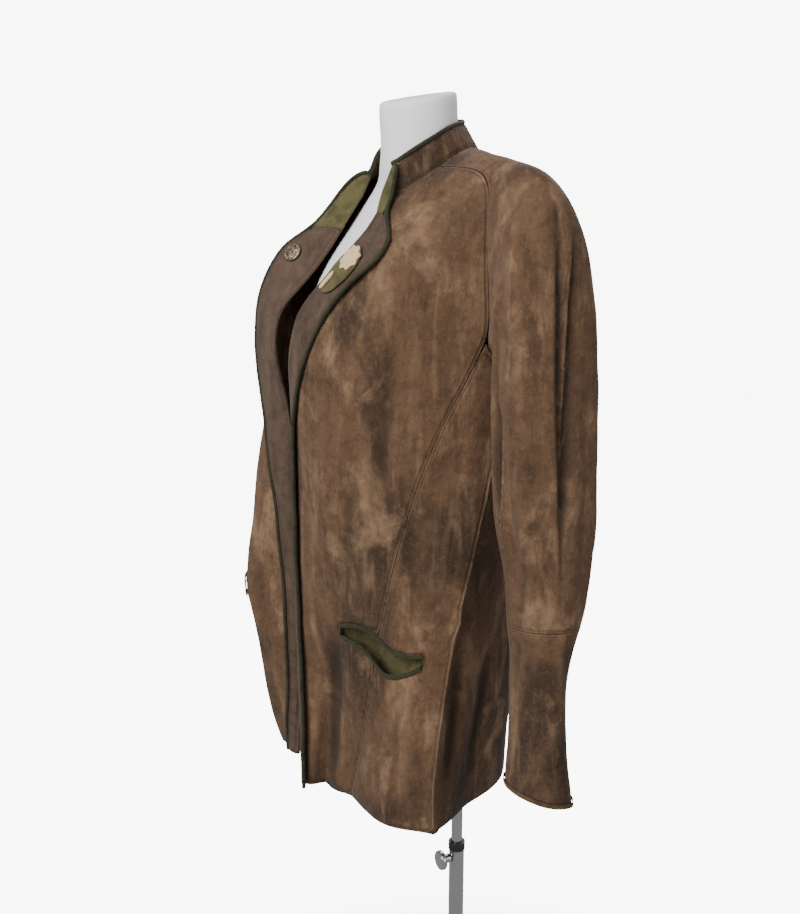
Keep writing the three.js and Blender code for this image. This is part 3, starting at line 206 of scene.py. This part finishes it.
class JacketSettings(bpy.types.PropertyGroup):
    suede: FloatVectorProperty(
        name="Suede", description="Main brown of the suede", subtype="COLOR",
        default=(0.128, 0.072, 0.040), min=0, max=1)
    # Also the colour of the painted highlight on the fold ridges
    suede_light: FloatVectorProperty(
        name="Worn suede", description="Tan of the rubbed places", subtype="COLOR",
        default=(0.29, 0.178, 0.102), min=0, max=1)
    # Also the colour of the painted shade in the fold troughs
    suede_dark: FloatVectorProperty(
        name="Dark suede", description="Brown of the dark clouds", subtype="COLOR",
        default=(0.028, 0.019, 0.014), min=0, max=1)
    facing: FloatVectorProperty(
        name="Facing", description="Mauve brown of the lapel facings", subtype="COLOR",
        default=(0.098, 0.064, 0.044), min=0, max=1)
    olive: FloatVectorProperty(
        name="Olive", description="Green of the trimming", subtype="COLOR",
        default=(0.100, 0.086, 0.032), min=0, max=1)
    cord_growth: FloatProperty(
        name="Piping growth", description="How far the rolled edge is swelled to meet the cloth",
        default=0.0008, min=0, max=0.002, unit="LENGTH")
    fold_depth: FloatProperty(
        name="Fold depth", description="Share of the hand placed folds' full depth", default=1.4,
        min=0, max=3)
    dark_olive: FloatVectorProperty(
        name="Dark olive", description="Green of the rolled edges and the welts", subtype="COLOR",
        default=(0.034, 0.031, 0.014), min=0, max=1)
    cream: FloatVectorProperty(
        name="Cream", description="Cream of the applique", subtype="COLOR",
        default=(0.72, 0.52, 0.30), min=0, max=1)
    crumple: FloatProperty(
        name="Crumple", description="Depth of the small dents in the suede",
        default=0.0016, min=0, max=0.004, unit="LENGTH")
    stitch_pitch: FloatProperty(
        name="Stitch length", description="Distance from one stitch to the next",
        default=0.0036, min=0.002, max=0.008, unit="LENGTH")
    stitch_inset: FloatProperty(
        name="Stitch inset", description="Distance of the topstitching from a seam",
        default=0.0034, min=0.001, max=0.01, unit="LENGTH")


class StandSettings(bpy.types.PropertyGroup):
    form: FloatVectorProperty(
        name="Form", description="White skin of the dress form", subtype="COLOR",
        default=(0.97, 0.96, 0.95), min=0, max=1)
    chrome: FloatVectorProperty(
        name="Chrome", description="Tint of the plated tubes", subtype="COLOR",
        default=(0.50, 0.51, 0.53), min=0, max=1)


class StageSettings(bpy.types.PropertyGroup):
    backdrop: FloatVectorProperty(
        name="Backdrop", description="Colour of the floor and the room", subtype="COLOR",
        default=(0.90, 0.885, 0.875), min=0, max=1)
    glow: FloatProperty(
        name="Glow", description="Brightness of the backdrop away from the stand",
        default=9.0, min=0)
    room: FloatProperty(
        name="Room", description="Brightness of the even room light", default=0.4, min=0)
    key_power: FloatProperty(
        name="Key light", description="Power of the large soft light",
        default=140, min=0, unit="POWER")
    fill_power: FloatProperty(
        name="Fill light", description="Power of the weaker soft light",
        default=14, min=0, unit="POWER")


class Value:
    """A socket that takes part in sums as a number does."""

    def __init__(self, finish, socket):
        self.finish = finish
        self.socket = socket

    def _with(self, operation, *others):
        values = dict(enumerate([self, *others]))
        return self.finish.node("ShaderNodeMath", {"operation": operation}, values)[0]

    def __add__(self, other):
        return self._with("ADD", other)

    def __radd__(self, other):
        return self._with("ADD", other)

    def __sub__(self, other):
        return self._with("SUBTRACT", other)

    def __rsub__(self, other):
        return self._with("MULTIPLY", -1)._with("ADD", other)

    def __mul__(self, other):
        return self._with("MULTIPLY", other)

    def __rmul__(self, other):
        return self._with("MULTIPLY", other)

    def __truediv__(self, other):
        return self._with("DIVIDE", other)

    def __abs__(self):
        return self._with("ABSOLUTE")

    def __mod__(self, other):
        return self._with("FLOORED_MODULO", other)


class Finish:
    """Builds one material from nodes."""

    def __init__(self, name):
        self.material = bpy.data.materials.new(name)
        self.material.use_nodes = True
        self.tree = self.material.node_tree
        self.shader = self.tree.nodes["Principled BSDF"]
        self.place = self.node("ShaderNodeTexCoord")["Object"]

    def node(self, kind, settings=None, values=None):
        made = self.tree.nodes.new(kind)
        for key, setting in (settings or {}).items():
            if key == "stops":
                self._set_stops(made.color_ramp, setting)
            else:
                setattr(made, key, setting)
        for key, value in (values or {}).items():
            self._fill(made.inputs[key], value)
        outputs = {}
        for index, socket in enumerate(made.outputs):
            outputs[index] = Value(self, socket)
            if socket.enabled:
                outputs[socket.name] = outputs[index]
        return outputs

    def _set_stops(self, ramp, stops):
        while len(ramp.elements) < len(stops):
            ramp.elements.new(1.0)
        for element, (position, colour) in zip(ramp.elements, stops):
            element.position = position
            element.color = (*colour, 1.0) if len(colour) == 3 else colour

    def _fill(self, socket, value):
        if isinstance(value, Value):
            self.tree.links.new(value.socket, socket)
        elif socket.type == "RGBA" and len(value) == 3:
            socket.default_value = (*value, 1.0)
        else:
            socket.default_value = value

    def grain(self, scale, detail=4.0, roughness=0.55, distortion=0.0, vector=None):
        values = {
            "Vector": vector or self.place, "Scale": scale, "Detail": detail,
            "Roughness": roughness, "Distortion": distortion,
        }
        return self.node("ShaderNodeTexNoise", {}, values)["Fac"]

    def stretched(self, scale, vector=None):
        values = {0: vector or self.place, 1: scale}
        return self.node("ShaderNodeVectorMath", {"operation": "MULTIPLY"}, values)["Vector"]

    def spread(self, value, low, high):
        """0 below low, 1 above high and a soft rise between them."""
        values = {"Value": value, "From Min": low, "From Max": high}
        settings = {"interpolation_type": "SMOOTHSTEP"}
        return self.node("ShaderNodeMapRange", settings, values)["Result"]

    def mix(self, factor, first, second, blend="MIX"):
        settings = {"data_type": "RGBA", "blend_type": blend}
        return self.node("ShaderNodeMix", settings, {0: factor, 6: first, 7: second})[2]

    def attribute(self, name):
        return self.node("ShaderNodeAttribute", {"attribute_name": name})["Fac"]

    def bump(self, height, distance, strength=1.0, under=None):
        values = {"Height": height, "Distance": distance, "Strength": strength}
        if under is not None:
            values["Normal"] = under
        return self.node("ShaderNodeBump", {}, values)["Normal"]

    def set(self, **sockets):
        for key, value in sockets.items():
            self._fill(self.shader.inputs[key.replace("_", " ")], value)
        return self.material


def stitching(finish, settings):
    """Masks of the topstitching beside every edge: its thread, and the groove it draws in."""
    edge = finish.attribute("edge_distance")
    along = finish.attribute("edge_along")
    off = abs(edge - settings.stitch_inset)
    line = 1 - finish.spread(off, 0.00035, 0.0008)
    dash = abs((along / settings.stitch_pitch) % 1.0 - 0.5)
    thread = line * (1 - finish.spread(dash, 0.34, 0.42))
    groove = 1 - finish.spread(off, 0.0004, 0.0022)
    return edge, thread, groove


def suede_finish(name, settings, base, light, dark, blotch=1.0):
    """Napped suede with clouds of wear, small dents, topstitching along its edges, and painted
    shade in the fold troughs and painted highlight on the fold ridges.
    """
    finish = Finish(name)
    edge, thread, groove = stitching(finish, settings)
    tall = finish.stretched((1.0, 1.0, 0.5))
    streaks = finish.grain(42, 4, 0.6, 0.5, finish.stretched((1.0, 1.0, 0.14)))
    clouds = finish.grain(7, 5, 0.62, 0.6, tall)
    patches = finish.grain(19, 5, 0.64, 0.4, tall)
    mottle = finish.grain(75, 4, 0.6, 0.2)
    nap = finish.grain(900, 3, 0.6)
    hairs = finish.grain(260, 3, 0.65)
    colour = finish.mix(finish.spread(clouds, 0.46, 0.62) * 0.8 * blotch, base, dark)
    colour = finish.mix(finish.spread(patches, 0.5, 0.68) * 0.75 * blotch, colour, light)
    colour = finish.mix(finish.spread(streaks, 0.52, 0.72) * 0.45, colour, light)
    colour = finish.mix((1 - finish.spread(streaks, 0.28, 0.44)) * 0.4, colour, dark)
    colour = finish.mix(finish.spread(mottle, 0.42, 0.68) * 0.35, colour, dark)
    colour = finish.mix(finish.spread(hairs, 0.5, 0.75) * 0.2, colour, light)
    colour = finish.mix(finish.spread(nap, 0.45, 0.7) * 0.25, colour, dark)
    # Painted shade darkens the fold troughs and painted highlight lightens the fold ridges
    shading_relief = finish.attribute("fold_relief")
    colour = finish.mix(finish.spread(shading_relief * -1, 0.08, 0.95) * 0.72, colour, dark)
    colour = finish.mix(finish.spread(shading_relief, 0.1, 0.8) * 0.35, colour, light)
    rubbed = (1 - finish.spread(edge, 0.001, 0.004)) * finish.spread(mottle, 0.4, 0.6)
    seam = 1 - finish.spread(edge, 0.0002, 0.0011)
    colour = finish.mix(rubbed * 0.28, colour, light)
    colour = finish.mix(thread * 0.35, colour, dark)
    colour = finish.mix(seam * 0.6, colour, dark)
    height = finish.bump(nap, 0.0004, 0.5)
    height = finish.bump(hairs, 0.0010, 0.5, height)
    height = finish.bump(mottle, 0.003, 0.45, height)
    height = finish.bump(patches, 0.008, 0.35, height)
    height = finish.bump(thread * 0.5 - groove, 0.0012, 0.7, height)
    return finish.set(
        Base_Color=colour, Roughness=0.94 - patches * 0.08, Normal=height, Specular_IOR_Level=0.15,
        Sheen_Weight=0.08, Sheen_Roughness=0.45,
    )


def cuff_finish(settings):
    """Suede that turns olive only in the last few millimetres of the cuff."""
    finish = Finish("cuff edge")
    low = 1 - finish.spread(finish.attribute("cuff_height"), -0.0012, 0.0004)
    mottle = finish.grain(70, 4, 0.6, 0.2)
    brown = finish.mix(finish.spread(mottle, 0.42, 0.68) * 0.6, settings.suede, settings.suede_dark)
    green = finish.mix(finish.spread(mottle, 0.42, 0.66) * 0.6, settings.olive, settings.suede_dark)
    nap = finish.grain(900, 3, 0.6)
    height = finish.bump(mottle, 0.002, 0.4, finish.bump(nap, 0.0004, 0.5))
    return finish.set(
        Base_Color=finish.mix(low, brown, green), Roughness=0.94 - mottle * 0.08, Normal=height,
        Specular_IOR_Level=0.15)


def olive_finish(settings, green):
    finish = Finish("olive suede")
    mottle = finish.grain(60, 5, 0.62, 0.3)
    nap = finish.grain(700, 3, 0.6)
    dark = tuple(0.42 * c for c in green)
    pale = tuple(2.2 * c for c in green)
    colour = finish.mix(finish.spread(mottle, 0.42, 0.66) * 0.7, green, dark)
    colour = finish.mix(finish.spread(finish.grain(130, 4, 0.6), 0.52, 0.72) * 0.25, colour, pale)
    height = finish.bump(nap, 0.0004, 0.5)
    height = finish.bump(mottle, 0.002, 0.4, height)
    return finish.set(
        Base_Color=colour, Roughness=0.86 - mottle * 0.1, Normal=height, Specular_IOR_Level=0.22,
        Sheen_Weight=0.12)


def cream_finish(settings):
    finish = Finish("cream suede")
    mottle = finish.grain(120, 5, 0.6, 0.2)
    dark = tuple(0.45 * c for c in settings.cream)
    colour = finish.mix(finish.spread(mottle, 0.5, 0.75) * 0.6, settings.cream, dark)
    height = finish.bump(finish.grain(800, 3, 0.6), 0.0004, 0.5)
    height = finish.bump(mottle, 0.0015, 0.5, height)
    return finish.set(Base_Color=colour, Roughness=0.9, Normal=height, Specular_IOR_Level=0.2)


def pewter_finish():
    finish = Finish("antique metal")
    stain = finish.grain(420, 4, 0.6)
    colour = finish.mix(finish.spread(stain, 0.4, 0.62), (0.10, 0.075, 0.045), (0.44, 0.36, 0.24))
    return finish.set(
        Base_Color=colour, Metallic=1.0, Roughness=0.38 + stain * 0.25,
        Normal=finish.bump(stain, 0.0006, 0.5))


def form_finish(settings):
    finish = Finish("white form")
    weave = finish.grain(650, 2, 0.5)
    cloud = finish.grain(9, 3, 0.5)
    grey = tuple(0.93 * c for c in settings.form)
    colour = finish.mix(finish.spread(cloud, 0.4, 0.7) * 0.5, settings.form, grey)
    return finish.set(
        Base_Color=colour, Roughness=0.62 + weave * 0.1, Normal=finish.bump(weave, 0.0003, 0.25),
        Specular_IOR_Level=0.35)


def chrome_finish(settings):
    finish = Finish("plated steel")
    smear = finish.grain(60, 4, 0.6, 0.4, finish.stretched((1.0, 1.0, 0.15)))
    return finish.set(
        Base_Color=settings.chrome, Metallic=1.0, Roughness=0.10 + smear * 0.14,
        Normal=finish.bump(smear, 0.0004, 0.15))


def black_finish():
    finish = Finish("black moulding")
    speckle = finish.grain(900, 2, 0.5)
    return finish.set(
        Base_Color=(0.018, 0.018, 0.019), Roughness=0.38 + speckle * 0.2,
        Normal=finish.bump(speckle, 0.0002, 0.3))


def finish_named(name):
    """The material of a finish, made the first time that a piece asks for it."""
    known = bpy.data.materials.get(f"finish_{name}")
    if known:
        return known
    jacket = bpy.context.scene.jacket_settings
    stand = bpy.context.scene.stand_settings
    facing_light = tuple(min(1.0, 1.5 * c) for c in jacket.facing)
    makers = {
        "suede": lambda: suede_finish(
            "suede", jacket, jacket.suede, jacket.suede_light, jacket.suede_dark),
        "facing": lambda: suede_finish(
            "facing suede", jacket, jacket.facing, facing_light, jacket.suede_dark, 0.8),
        "olive": lambda: olive_finish(jacket, jacket.olive),
        "edge": lambda: olive_finish(jacket, jacket.dark_olive),
        "cuff": lambda: cuff_finish(jacket),
        "cream": lambda: cream_finish(jacket),
        "pewter": pewter_finish,
        "form": lambda: form_finish(stand),
        "chrome": lambda: chrome_finish(stand),
        "black": black_finish,
    }
    made = makers[name]()
    made.name = f"finish_{name}"
    return made


def deselect_all():
    for found in bpy.context.selected_objects:
        found.select_set(False)


def make_active(piece):
    deselect_all()
    bpy.context.view_layer.objects.active = piece
    piece.select_set(True)


def smooth_copy(node, name, levels, sharp_degrees=SHARP_DEGREES):
    """A CAD node's copy, merged, made of quads and subdivided, with its sharp edges kept."""
    piece = bpy.data.objects.new(name, frame["nodes"][node].data.copy())
    bpy.context.scene.collection.objects.link(piece)
    make_active(piece)
    bpy.ops.object.mode_set(mode="EDIT")
    bpy.ops.mesh.select_mode(type="EDGE")
    bpy.ops.mesh.select_all(action="SELECT")
    bpy.ops.mesh.remove_doubles(threshold=MERGE_DISTANCE)
    bpy.ops.mesh.select_all(action="DESELECT")
    bpy.ops.mesh.edges_select_sharp(sharpness=math.radians(sharp_degrees))
    bpy.ops.object.mode_set(mode="OBJECT")
    crease = piece.data.attributes.new("crease_edge", "FLOAT", "EDGE")
    for edge, kept in zip(piece.data.edges, crease.data):
        kept.value = float(edge.select)
    bpy.ops.object.mode_set(mode="EDIT")
    bpy.ops.mesh.select_all(action="SELECT")
    bpy.ops.mesh.tris_convert_to_quads(
        face_threshold=math.radians(min(QUAD_DEGREES, sharp_degrees)),
        shape_threshold=math.radians(QUAD_SHAPE_DEGREES))
    bpy.ops.object.mode_set(mode="OBJECT")
    modifier = piece.modifiers.new("Smoothing", "SUBSURF")
    modifier.levels = levels
    modifier.render_levels = levels
    bpy.ops.object.modifier_apply(modifier=modifier.name)
    bpy.ops.object.shade_smooth_by_angle(angle=math.radians(sharp_degrees))
    return piece


def side_of(points):
    """For each point: the way outwards from its tube of cloth, and its share of arm and body."""
    reach = np.abs(points[:, 0])
    arm = np.clip((reach - ARM_FROM) / ARM_BLEND, 0, 1)
    under_arm = np.clip((reach - FLANK_FROM) / FLANK_BLEND, 0, 1)
    under_arm *= np.clip((points[:, 2] - ARMPIT_FROM) / ARMPIT_BLEND, 0, 1)
    body = (1 - under_arm) * (1 - arm)
    side = np.where(points[:, 0] > 0, 1.0, -1.0)
    near_arm = reach > ARM_AXIS_FROM
    middle = np.stack((
        np.where(near_arm, side * SLEEVE_AXIS[0], BODY_AXIS[0]),
        np.where(near_arm, SLEEVE_AXIS[1], BODY_AXIS[1]),
    ), axis=1)
    way = points[:, :2] - middle
    way /= np.maximum(np.linalg.norm(way, axis=1), 1e-4)[:, None]
    return way, arm, body


def nearness(points, run, wide, step):
    """1 on a fold's line, falling softly to 0 beside it and past its ends."""
    best = np.full(len(points), np.inf)
    across = np.zeros(len(points))
    for start, end in zip(run[:-1], run[1:]):
        start, end = np.array(start) / 1000, np.array(end) / 1000
        line = end - start
        share = np.clip((points - start) @ line / (line @ line), 0, 1)
        gap = points - (start + share[:, None] * line)
        size = np.linalg.norm(gap, axis=1)
        across = np.where(size < best, gap[:, 1], across)
        best = np.minimum(best, size)
    low, top = sorted((run[0][2] / 1000, run[-1][2] / 1000))
    fade = np.exp(-((best / (wide / 1000)) ** 2))
    if top - low > SHORT_FOLD:
        soft = FOLD_END * (top - low)
        fade *= np.clip((top + 0.01 - points[:, 2]) / soft, 0, 1)
        fade *= np.clip((points[:, 2] - low + 0.02) / soft, 0, 1)
    if step:
        fade *= np.clip(across * step / STEP_REACH + STEP_ON_LINE, 0, 1)
    return fade


def press_folds(piece, depth, share):
    """Presses the listed folds and the small dents into a piece of cloth."""
    count = len(piece.data.vertices)
    flat = np.empty(count * 3, np.float32)
    piece.data.vertices.foreach_get("co", flat)
    points = flat.reshape(count, 3).astype(float)
    way, arm, body = side_of(points)
    amount = np.zeros(count)
    for index, (x, y, z) in enumerate(points):
        place = Vector((x * 9 + 3.1, y * 9 + 7.7, z * 5.5 + 1.3))
        amount[index] = sum(part * noise.noise(place * finer) for finer, part in DENT_SCALES)
    amount *= depth * (arm + body)
    # The folds' relief, which the suede finish turns into painted shade in the troughs and painted
    # highlight on the ridges
    shading_relief = np.zeros(count)
    for fold in FOLDS:
        part = arm if fold["on"] == "arm" else body
        for mirror, drop in ((1, 0), (-1, MIRRORED_SHIFT)):
            run = [(mirror * x, y, z - drop) for x, y, z in fold["run"]]
            weight = nearness(points, run, fold["wide"], fold["step"])
            amount += share * fold["deep"] / 1000 * weight * part
            shading_relief += fold["deep"] / FULL_FOLD_SHADING * weight * part
    points[:, :2] += way * amount[:, None]
    piece.data.vertices.foreach_set("co", points.astype(np.float32).ravel())
    attribute = piece.data.attributes.new("fold_relief", "FLOAT", "POINT")
    attribute.data.foreach_set("value", shading_relief.astype(np.float32))
    piece.data.update()


def mark_edges(piece):
    """Stores, at each point, how far off the nearest raw edge is and how far along it that is."""
    mesh = bmesh.new()
    mesh.from_mesh(piece.data)
    rim = [
        edge for edge in mesh.edges
        if len(edge.link_faces) == 2 and math.degrees(edge.calc_face_angle(0.0)) > RIM_DEGREES
    ]
    rim_set = set(rim)
    done = set()
    places = []
    for start in rim:
        if start in done:
            continue
        along = 0.0
        edge, vertex = start, start.verts[0]
        while edge is not None and edge not in done:
            done.add(edge)
            other = edge.other_vert(vertex)
            length = edge.calc_length()
            for share in (0.0, 0.5):
                places.append((vertex.co.lerp(other.co, share), along + share * length))
            along += length
            vertex = other
            edge = next((e for e in vertex.link_edges if e in rim_set and e not in done), None)
    tree = kdtree.KDTree(max(1, len(places)))
    for index, (place, _) in enumerate(places):
        tree.insert(place, index)
    tree.balance()
    distances = np.full(len(mesh.verts), 1.0, np.float32)
    alongs = np.zeros(len(mesh.verts), np.float32)
    for index, vertex in enumerate(mesh.verts):
        if places:
            _, found, distance = tree.find(vertex.co)
            distances[index] = distance
            alongs[index] = places[found][1]
    mesh.free()
    for name, numbers in (("edge_distance", distances), ("edge_along", alongs)):
        attribute = piece.data.attributes.new(name, "FLOAT", "POINT")
        attribute.data.foreach_set("value", numbers)


def swell(piece, growth):
    """Makes a cord thicker by the same amount all round."""
    ways = [vertex.normal.copy() for vertex in piece.data.vertices]
    for vertex, way in zip(piece.data.vertices, ways):
        vertex.co += way * growth
    piece.data.update()


def mark_height(piece):
    """Stores how far each point of a cuff's edge lies above the edge's own middle plane."""
    points = np.array([vertex.co for vertex in piece.data.vertices])
    level = np.column_stack((points[:, 0], points[:, 1], np.ones(len(points))))
    slope = np.linalg.lstsq(level, points[:, 2], rcond=None)[0]
    attribute = piece.data.attributes.new("cuff_height", "FLOAT", "POINT")
    attribute.data.foreach_set("value", (points[:, 2] - level @ slope).astype(np.float32))


def finished(piece, finish, node, body):
    """Gives a piece its material and its place among the CAD bodies, and hides the CAD nodes that
    it stands in for.
    """
    piece.data.materials.clear()
    piece.data.materials.append(finish_named(finish))
    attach(piece, body)
    if node:
        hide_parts(*([node] if isinstance(node, str) else node))
    return piece


def meet(piece, nodes, reach):
    """Draws the rim of a cloth piece onto the pieces that are sewn to it."""
    for node in nodes:
        source = frame["nodes"][node].data
        tree = BVHTree.FromPolygons(
            [vertex.co for vertex in source.vertices], [face.vertices for face in source.polygons])
        for vertex in piece.data.vertices:
            place, _, _, gap = tree.find_nearest(vertex.co, reach)
            if place is not None:
                vertex.co = vertex.co.lerp(place, min(1.0, (reach - gap) / (0.4 * reach)))
    piece.data.update()


def cloth_piece(row, levels=2):
    settings = bpy.context.scene.jacket_settings
    piece = smooth_copy(row["node"], f"{row['node']}_cloth", levels)
    side, _, kind = row["node"].partition("_")
    if kind in ("collar_facing", "lapel") or row["node"] == "collar":
        meet(piece, ("left_piping", "right_piping"), CORD_REACH)
    elif kind == "forearm":
        meet(piece, (f"{side}_sleeve",), SEAM_REACH)
    elif kind == "side_front":
        meet(piece, (f"{side}_front", "back"), SEAM_REACH)
    press_folds(piece, settings.crumple, settings.fold_depth)
    mark_edges(piece)
    finished(piece, row["finish"], row["node"], "dressed_form")
    return piece


class JacketPanels(bpy.types.Operator):
    """Adds the fronts, side fronts and back"""
    bl_idname = "jacket.panels"
    bl_label = "Add panels"

    def execute(self, context):
        for row in CLOTH:
            if "front" in row["node"] or row["node"] == "back":
                cloth_piece(row)
        return {"FINISHED"}


class JacketSleeves(bpy.types.Operator):
    """Adds the sleeves with their saddles, and the forearms"""
    bl_idname = "jacket.sleeves"
    bl_label = "Add sleeves"

    def execute(self, context):
        for row in CLOTH:
            if "sleeve" in row["node"] or "forearm" in row["node"]:
                cloth_piece(row, 3)
        return {"FINISHED"}


class JacketCollar(bpy.types.Operator):
    """Adds the collar, its turned-back ends and the lapels"""
    bl_idname = "jacket.collar"
    bl_label = "Add collar and lapels"

    def execute(self, context):
        for row in CLOTH:
            if "collar" in row["node"] or "lapel" in row["node"]:
                cloth_piece(row)
        return {"FINISHED"}


class JacketTrim(bpy.types.Operator):
    """Adds the piping, the welts and linings of the pockets and the cuff bindings"""
    bl_idname = "jacket.trim"
    bl_label = "Add trimming"

    def execute(self, context):
        settings = context.scene.jacket_settings
        for row in CLOTH:
            if "lining" in row["node"]:
                cloth_piece(row)
        for node in TRIM:
            piece = smooth_copy(node, f"{node}_trim", 2, 60.0)
            if "piping" in node:
                swell(piece, settings.cord_growth)
            press_folds(piece, settings.crumple, settings.fold_depth)
            if "cuff" in node:
                swell(piece, -settings.cord_growth)
                mark_height(piece)
            finished(piece, "cuff" if "cuff" in node else "edge", node, "dressed_form")
        return {"FINISHED"}


class JacketButton(bpy.types.Operator):
    """Adds the metal button on the right lapel"""
    bl_idname = "jacket.button"
    bl_label = "Add button"

    def execute(self, context):
        piece = smooth_copy("lapel_button", "lapel_button_metal", 2, 40.0)
        finished(piece, "pewter", "lapel_button", "dressed_form")
        return {"FINISHED"}


class JacketApplique(bpy.types.Operator):
    """Adds the patch, blossom and leaf on the left lapel"""
    bl_idname = "jacket.applique"
    bl_label = "Add applique"

    def execute(self, context):
        settings = context.scene.jacket_settings
        for node, finish in APPLIQUE:
            piece = smooth_copy(node, f"{node}_leather", 2)
            press_folds(piece, settings.crumple, settings.fold_depth)
            finished(piece, finish, node, "dressed_form")
        return {"FINISHED"}


class DressForm(bpy.types.Operator):
    """Adds the limbless dress form"""
    bl_idname = "jacket.dress_form"
    bl_label = "Add dress form"

    def execute(self, context):
        piece = smooth_copy("torso_form", "dress_form_skin", 2, 60.0)
        finished(piece, "form", "torso_form", "dressed_form")
        return {"FINISHED"}


class DressStand(bpy.types.Operator):
    """Adds the base, the tubes, the ring and the clamp"""
    bl_idname = "jacket.stand"
    bl_label = "Add stand"

    def execute(self, context):
        for row in STAND:
            body = frame["nodes"][row["node"]]["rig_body"]
            piece = smooth_copy(row["node"], f"{row['node']}_metal", 2, 35.0)
            finished(piece, row["finish"], row["node"], body)
        return {"FINISHED"}


class JacketStage(bpy.types.Operator):
    """Adds the floor, the lights and the camera"""
    bl_idname = "jacket.stage"
    bl_label = "Add stage"

    def execute(self, context):
        settings = context.scene.stage_settings
        backdrop = round_backdrop()
        paper = Finish("backdrop_paper")
        tone = paper.grain(1.2, 3, 0.5)
        shade = tuple(0.97 * c for c in settings.backdrop)
        away = paper.node(
            "ShaderNodeVectorMath", {"operation": "LENGTH"}, {0: paper.place})["Value"]
        glow = paper.mix(paper.spread(away, 0.12, 0.62), (0, 0, 0), settings.backdrop)
        backdrop.data.materials.append(paper.set(
            Base_Color=paper.mix(tone, settings.backdrop, shade), Roughness=0.9,
            Emission_Color=glow, Emission_Strength=settings.glow))
        world = bpy.data.worlds.new("room")
        world.use_nodes = True
        background = world.node_tree.nodes["Background"]
        background.inputs["Color"].default_value = (1.0, 0.995, 0.99, 1.0)
        background.inputs["Strength"].default_value = settings.room
        context.scene.world = world
        for name, place, power, size in (
            ("key", (1.2, -2.6, 2.9), settings.key_power, 2.0),
            ("fill", (2.8, 1.4, 1.9), settings.fill_power, 1.8),
            ("back", (-1.8, 2.0, 2.6), 4 * settings.fill_power, 1.8),
        ):
            light = bpy.data.lights.new(name, "AREA")
            light.energy = power
            light.size = size
            lamp = bpy.data.objects.new(name, light)
            lamp.location = place
            aim = Vector((0, -0.08, 1.05)) - Vector(place)
            lamp.rotation_euler = aim.to_track_quat("-Z", "Y").to_euler()
            context.scene.collection.objects.link(lamp)
        add_camera(context)
        return {"FINISHED"}


def round_backdrop():
    """A round floor whose rim rises in a soft curve; it lights nothing but itself."""
    deselect_all()
    bpy.ops.mesh.primitive_circle_add(
        vertices=64, radius=BACKDROP_RADIUS, fill_type="NGON", location=(0, 0, 0))
    backdrop = bpy.context.active_object
    backdrop.name = "backdrop"
    bpy.ops.object.mode_set(mode="EDIT")
    bpy.ops.mesh.select_mode(type="EDGE")
    bpy.ops.mesh.select_all(action="SELECT")
    bpy.ops.mesh.extrude_edges_move(TRANSFORM_OT_translate={"value": (0, 0, BACKDROP_HEIGHT)})
    bpy.ops.mesh.select_all(action="DESELECT")
    bpy.ops.object.mode_set(mode="OBJECT")
    for edge in backdrop.data.edges:
        edge.select = all(backdrop.data.vertices[index].co.z < 0.01 for index in edge.vertices)
    bpy.ops.object.mode_set(mode="EDIT")
    bpy.ops.mesh.bevel(offset=BACKDROP_CURVE, segments=12, affect="EDGES")
    bpy.ops.object.mode_set(mode="OBJECT")
    bpy.ops.object.shade_smooth_by_angle(angle=math.radians(40))
    backdrop.visible_diffuse = False
    backdrop.visible_glossy = False
    return backdrop


def add_camera(context):
    """The camera stands on the jacket's left, a little in front of it, and looks down."""
    pitch = math.radians(15.5)
    turn = math.radians(65.0)
    level = math.cos(pitch)
    ahead = Vector((-math.sin(turn) * level, math.cos(turn) * level, -math.sin(pitch)))
    data = bpy.data.cameras.new("photo_camera")
    data.sensor_width = SENSOR_MM
    data.lens = SENSOR_MM * FOCAL_PIXELS / max(IMAGE_WIDTH, IMAGE_HEIGHT)
    camera = bpy.data.objects.new("photo_camera", data)
    camera.location = (1.3162, -0.7031, 1.455)
    camera.rotation_euler = ahead.to_track_quat("-Z", "Y").to_euler()
    context.scene.collection.objects.link(camera)
    context.scene.camera = camera


class JacketPanel(bpy.types.Panel):
    """Lists the pieces of the jacket and its stand"""
    bl_idname = "VIEW3D_PT_folk_jacket"
    bl_label = "Folk costume jacket"
    bl_space_type = "VIEW_3D"
    bl_region_type = "UI"
    bl_category = "Jacket"

    def draw(self, context):
        for operator in STEPS:
            self.layout.operator(operator.bl_idname)
        for group in ("jacket_settings", "stand_settings", "stage_settings"):
            settings = getattr(context.scene, group)
            for key in settings.__annotations__:
                self.layout.prop(settings, key)


STEPS = [
    JacketStage, JacketPanels, JacketSleeves, JacketCollar, JacketTrim, JacketButton,
    JacketApplique, DressForm, DressStand,
]
GROUPS = {
    "jacket_settings": JacketSettings, "stand_settings": StandSettings,
    "stage_settings": StageSettings,
}


def register():
    for cls in (*GROUPS.values(), *STEPS, JacketPanel):
        bpy.utils.register_class(cls)
    for name, cls in GROUPS.items():
        setattr(bpy.types.Scene, name, PointerProperty(type=cls))


def unregister():
    for name in GROUPS:
        delattr(bpy.types.Scene, name)
    for cls in reversed((*GROUPS.values(), *STEPS, JacketPanel)):
        bpy.utils.unregister_class(cls)


def main():
    register()
    for step in STEPS:
        group, name = step.bl_idname.split(".")
        getattr(getattr(bpy.ops, group), name)()


if __name__ == "__main__":
    main()
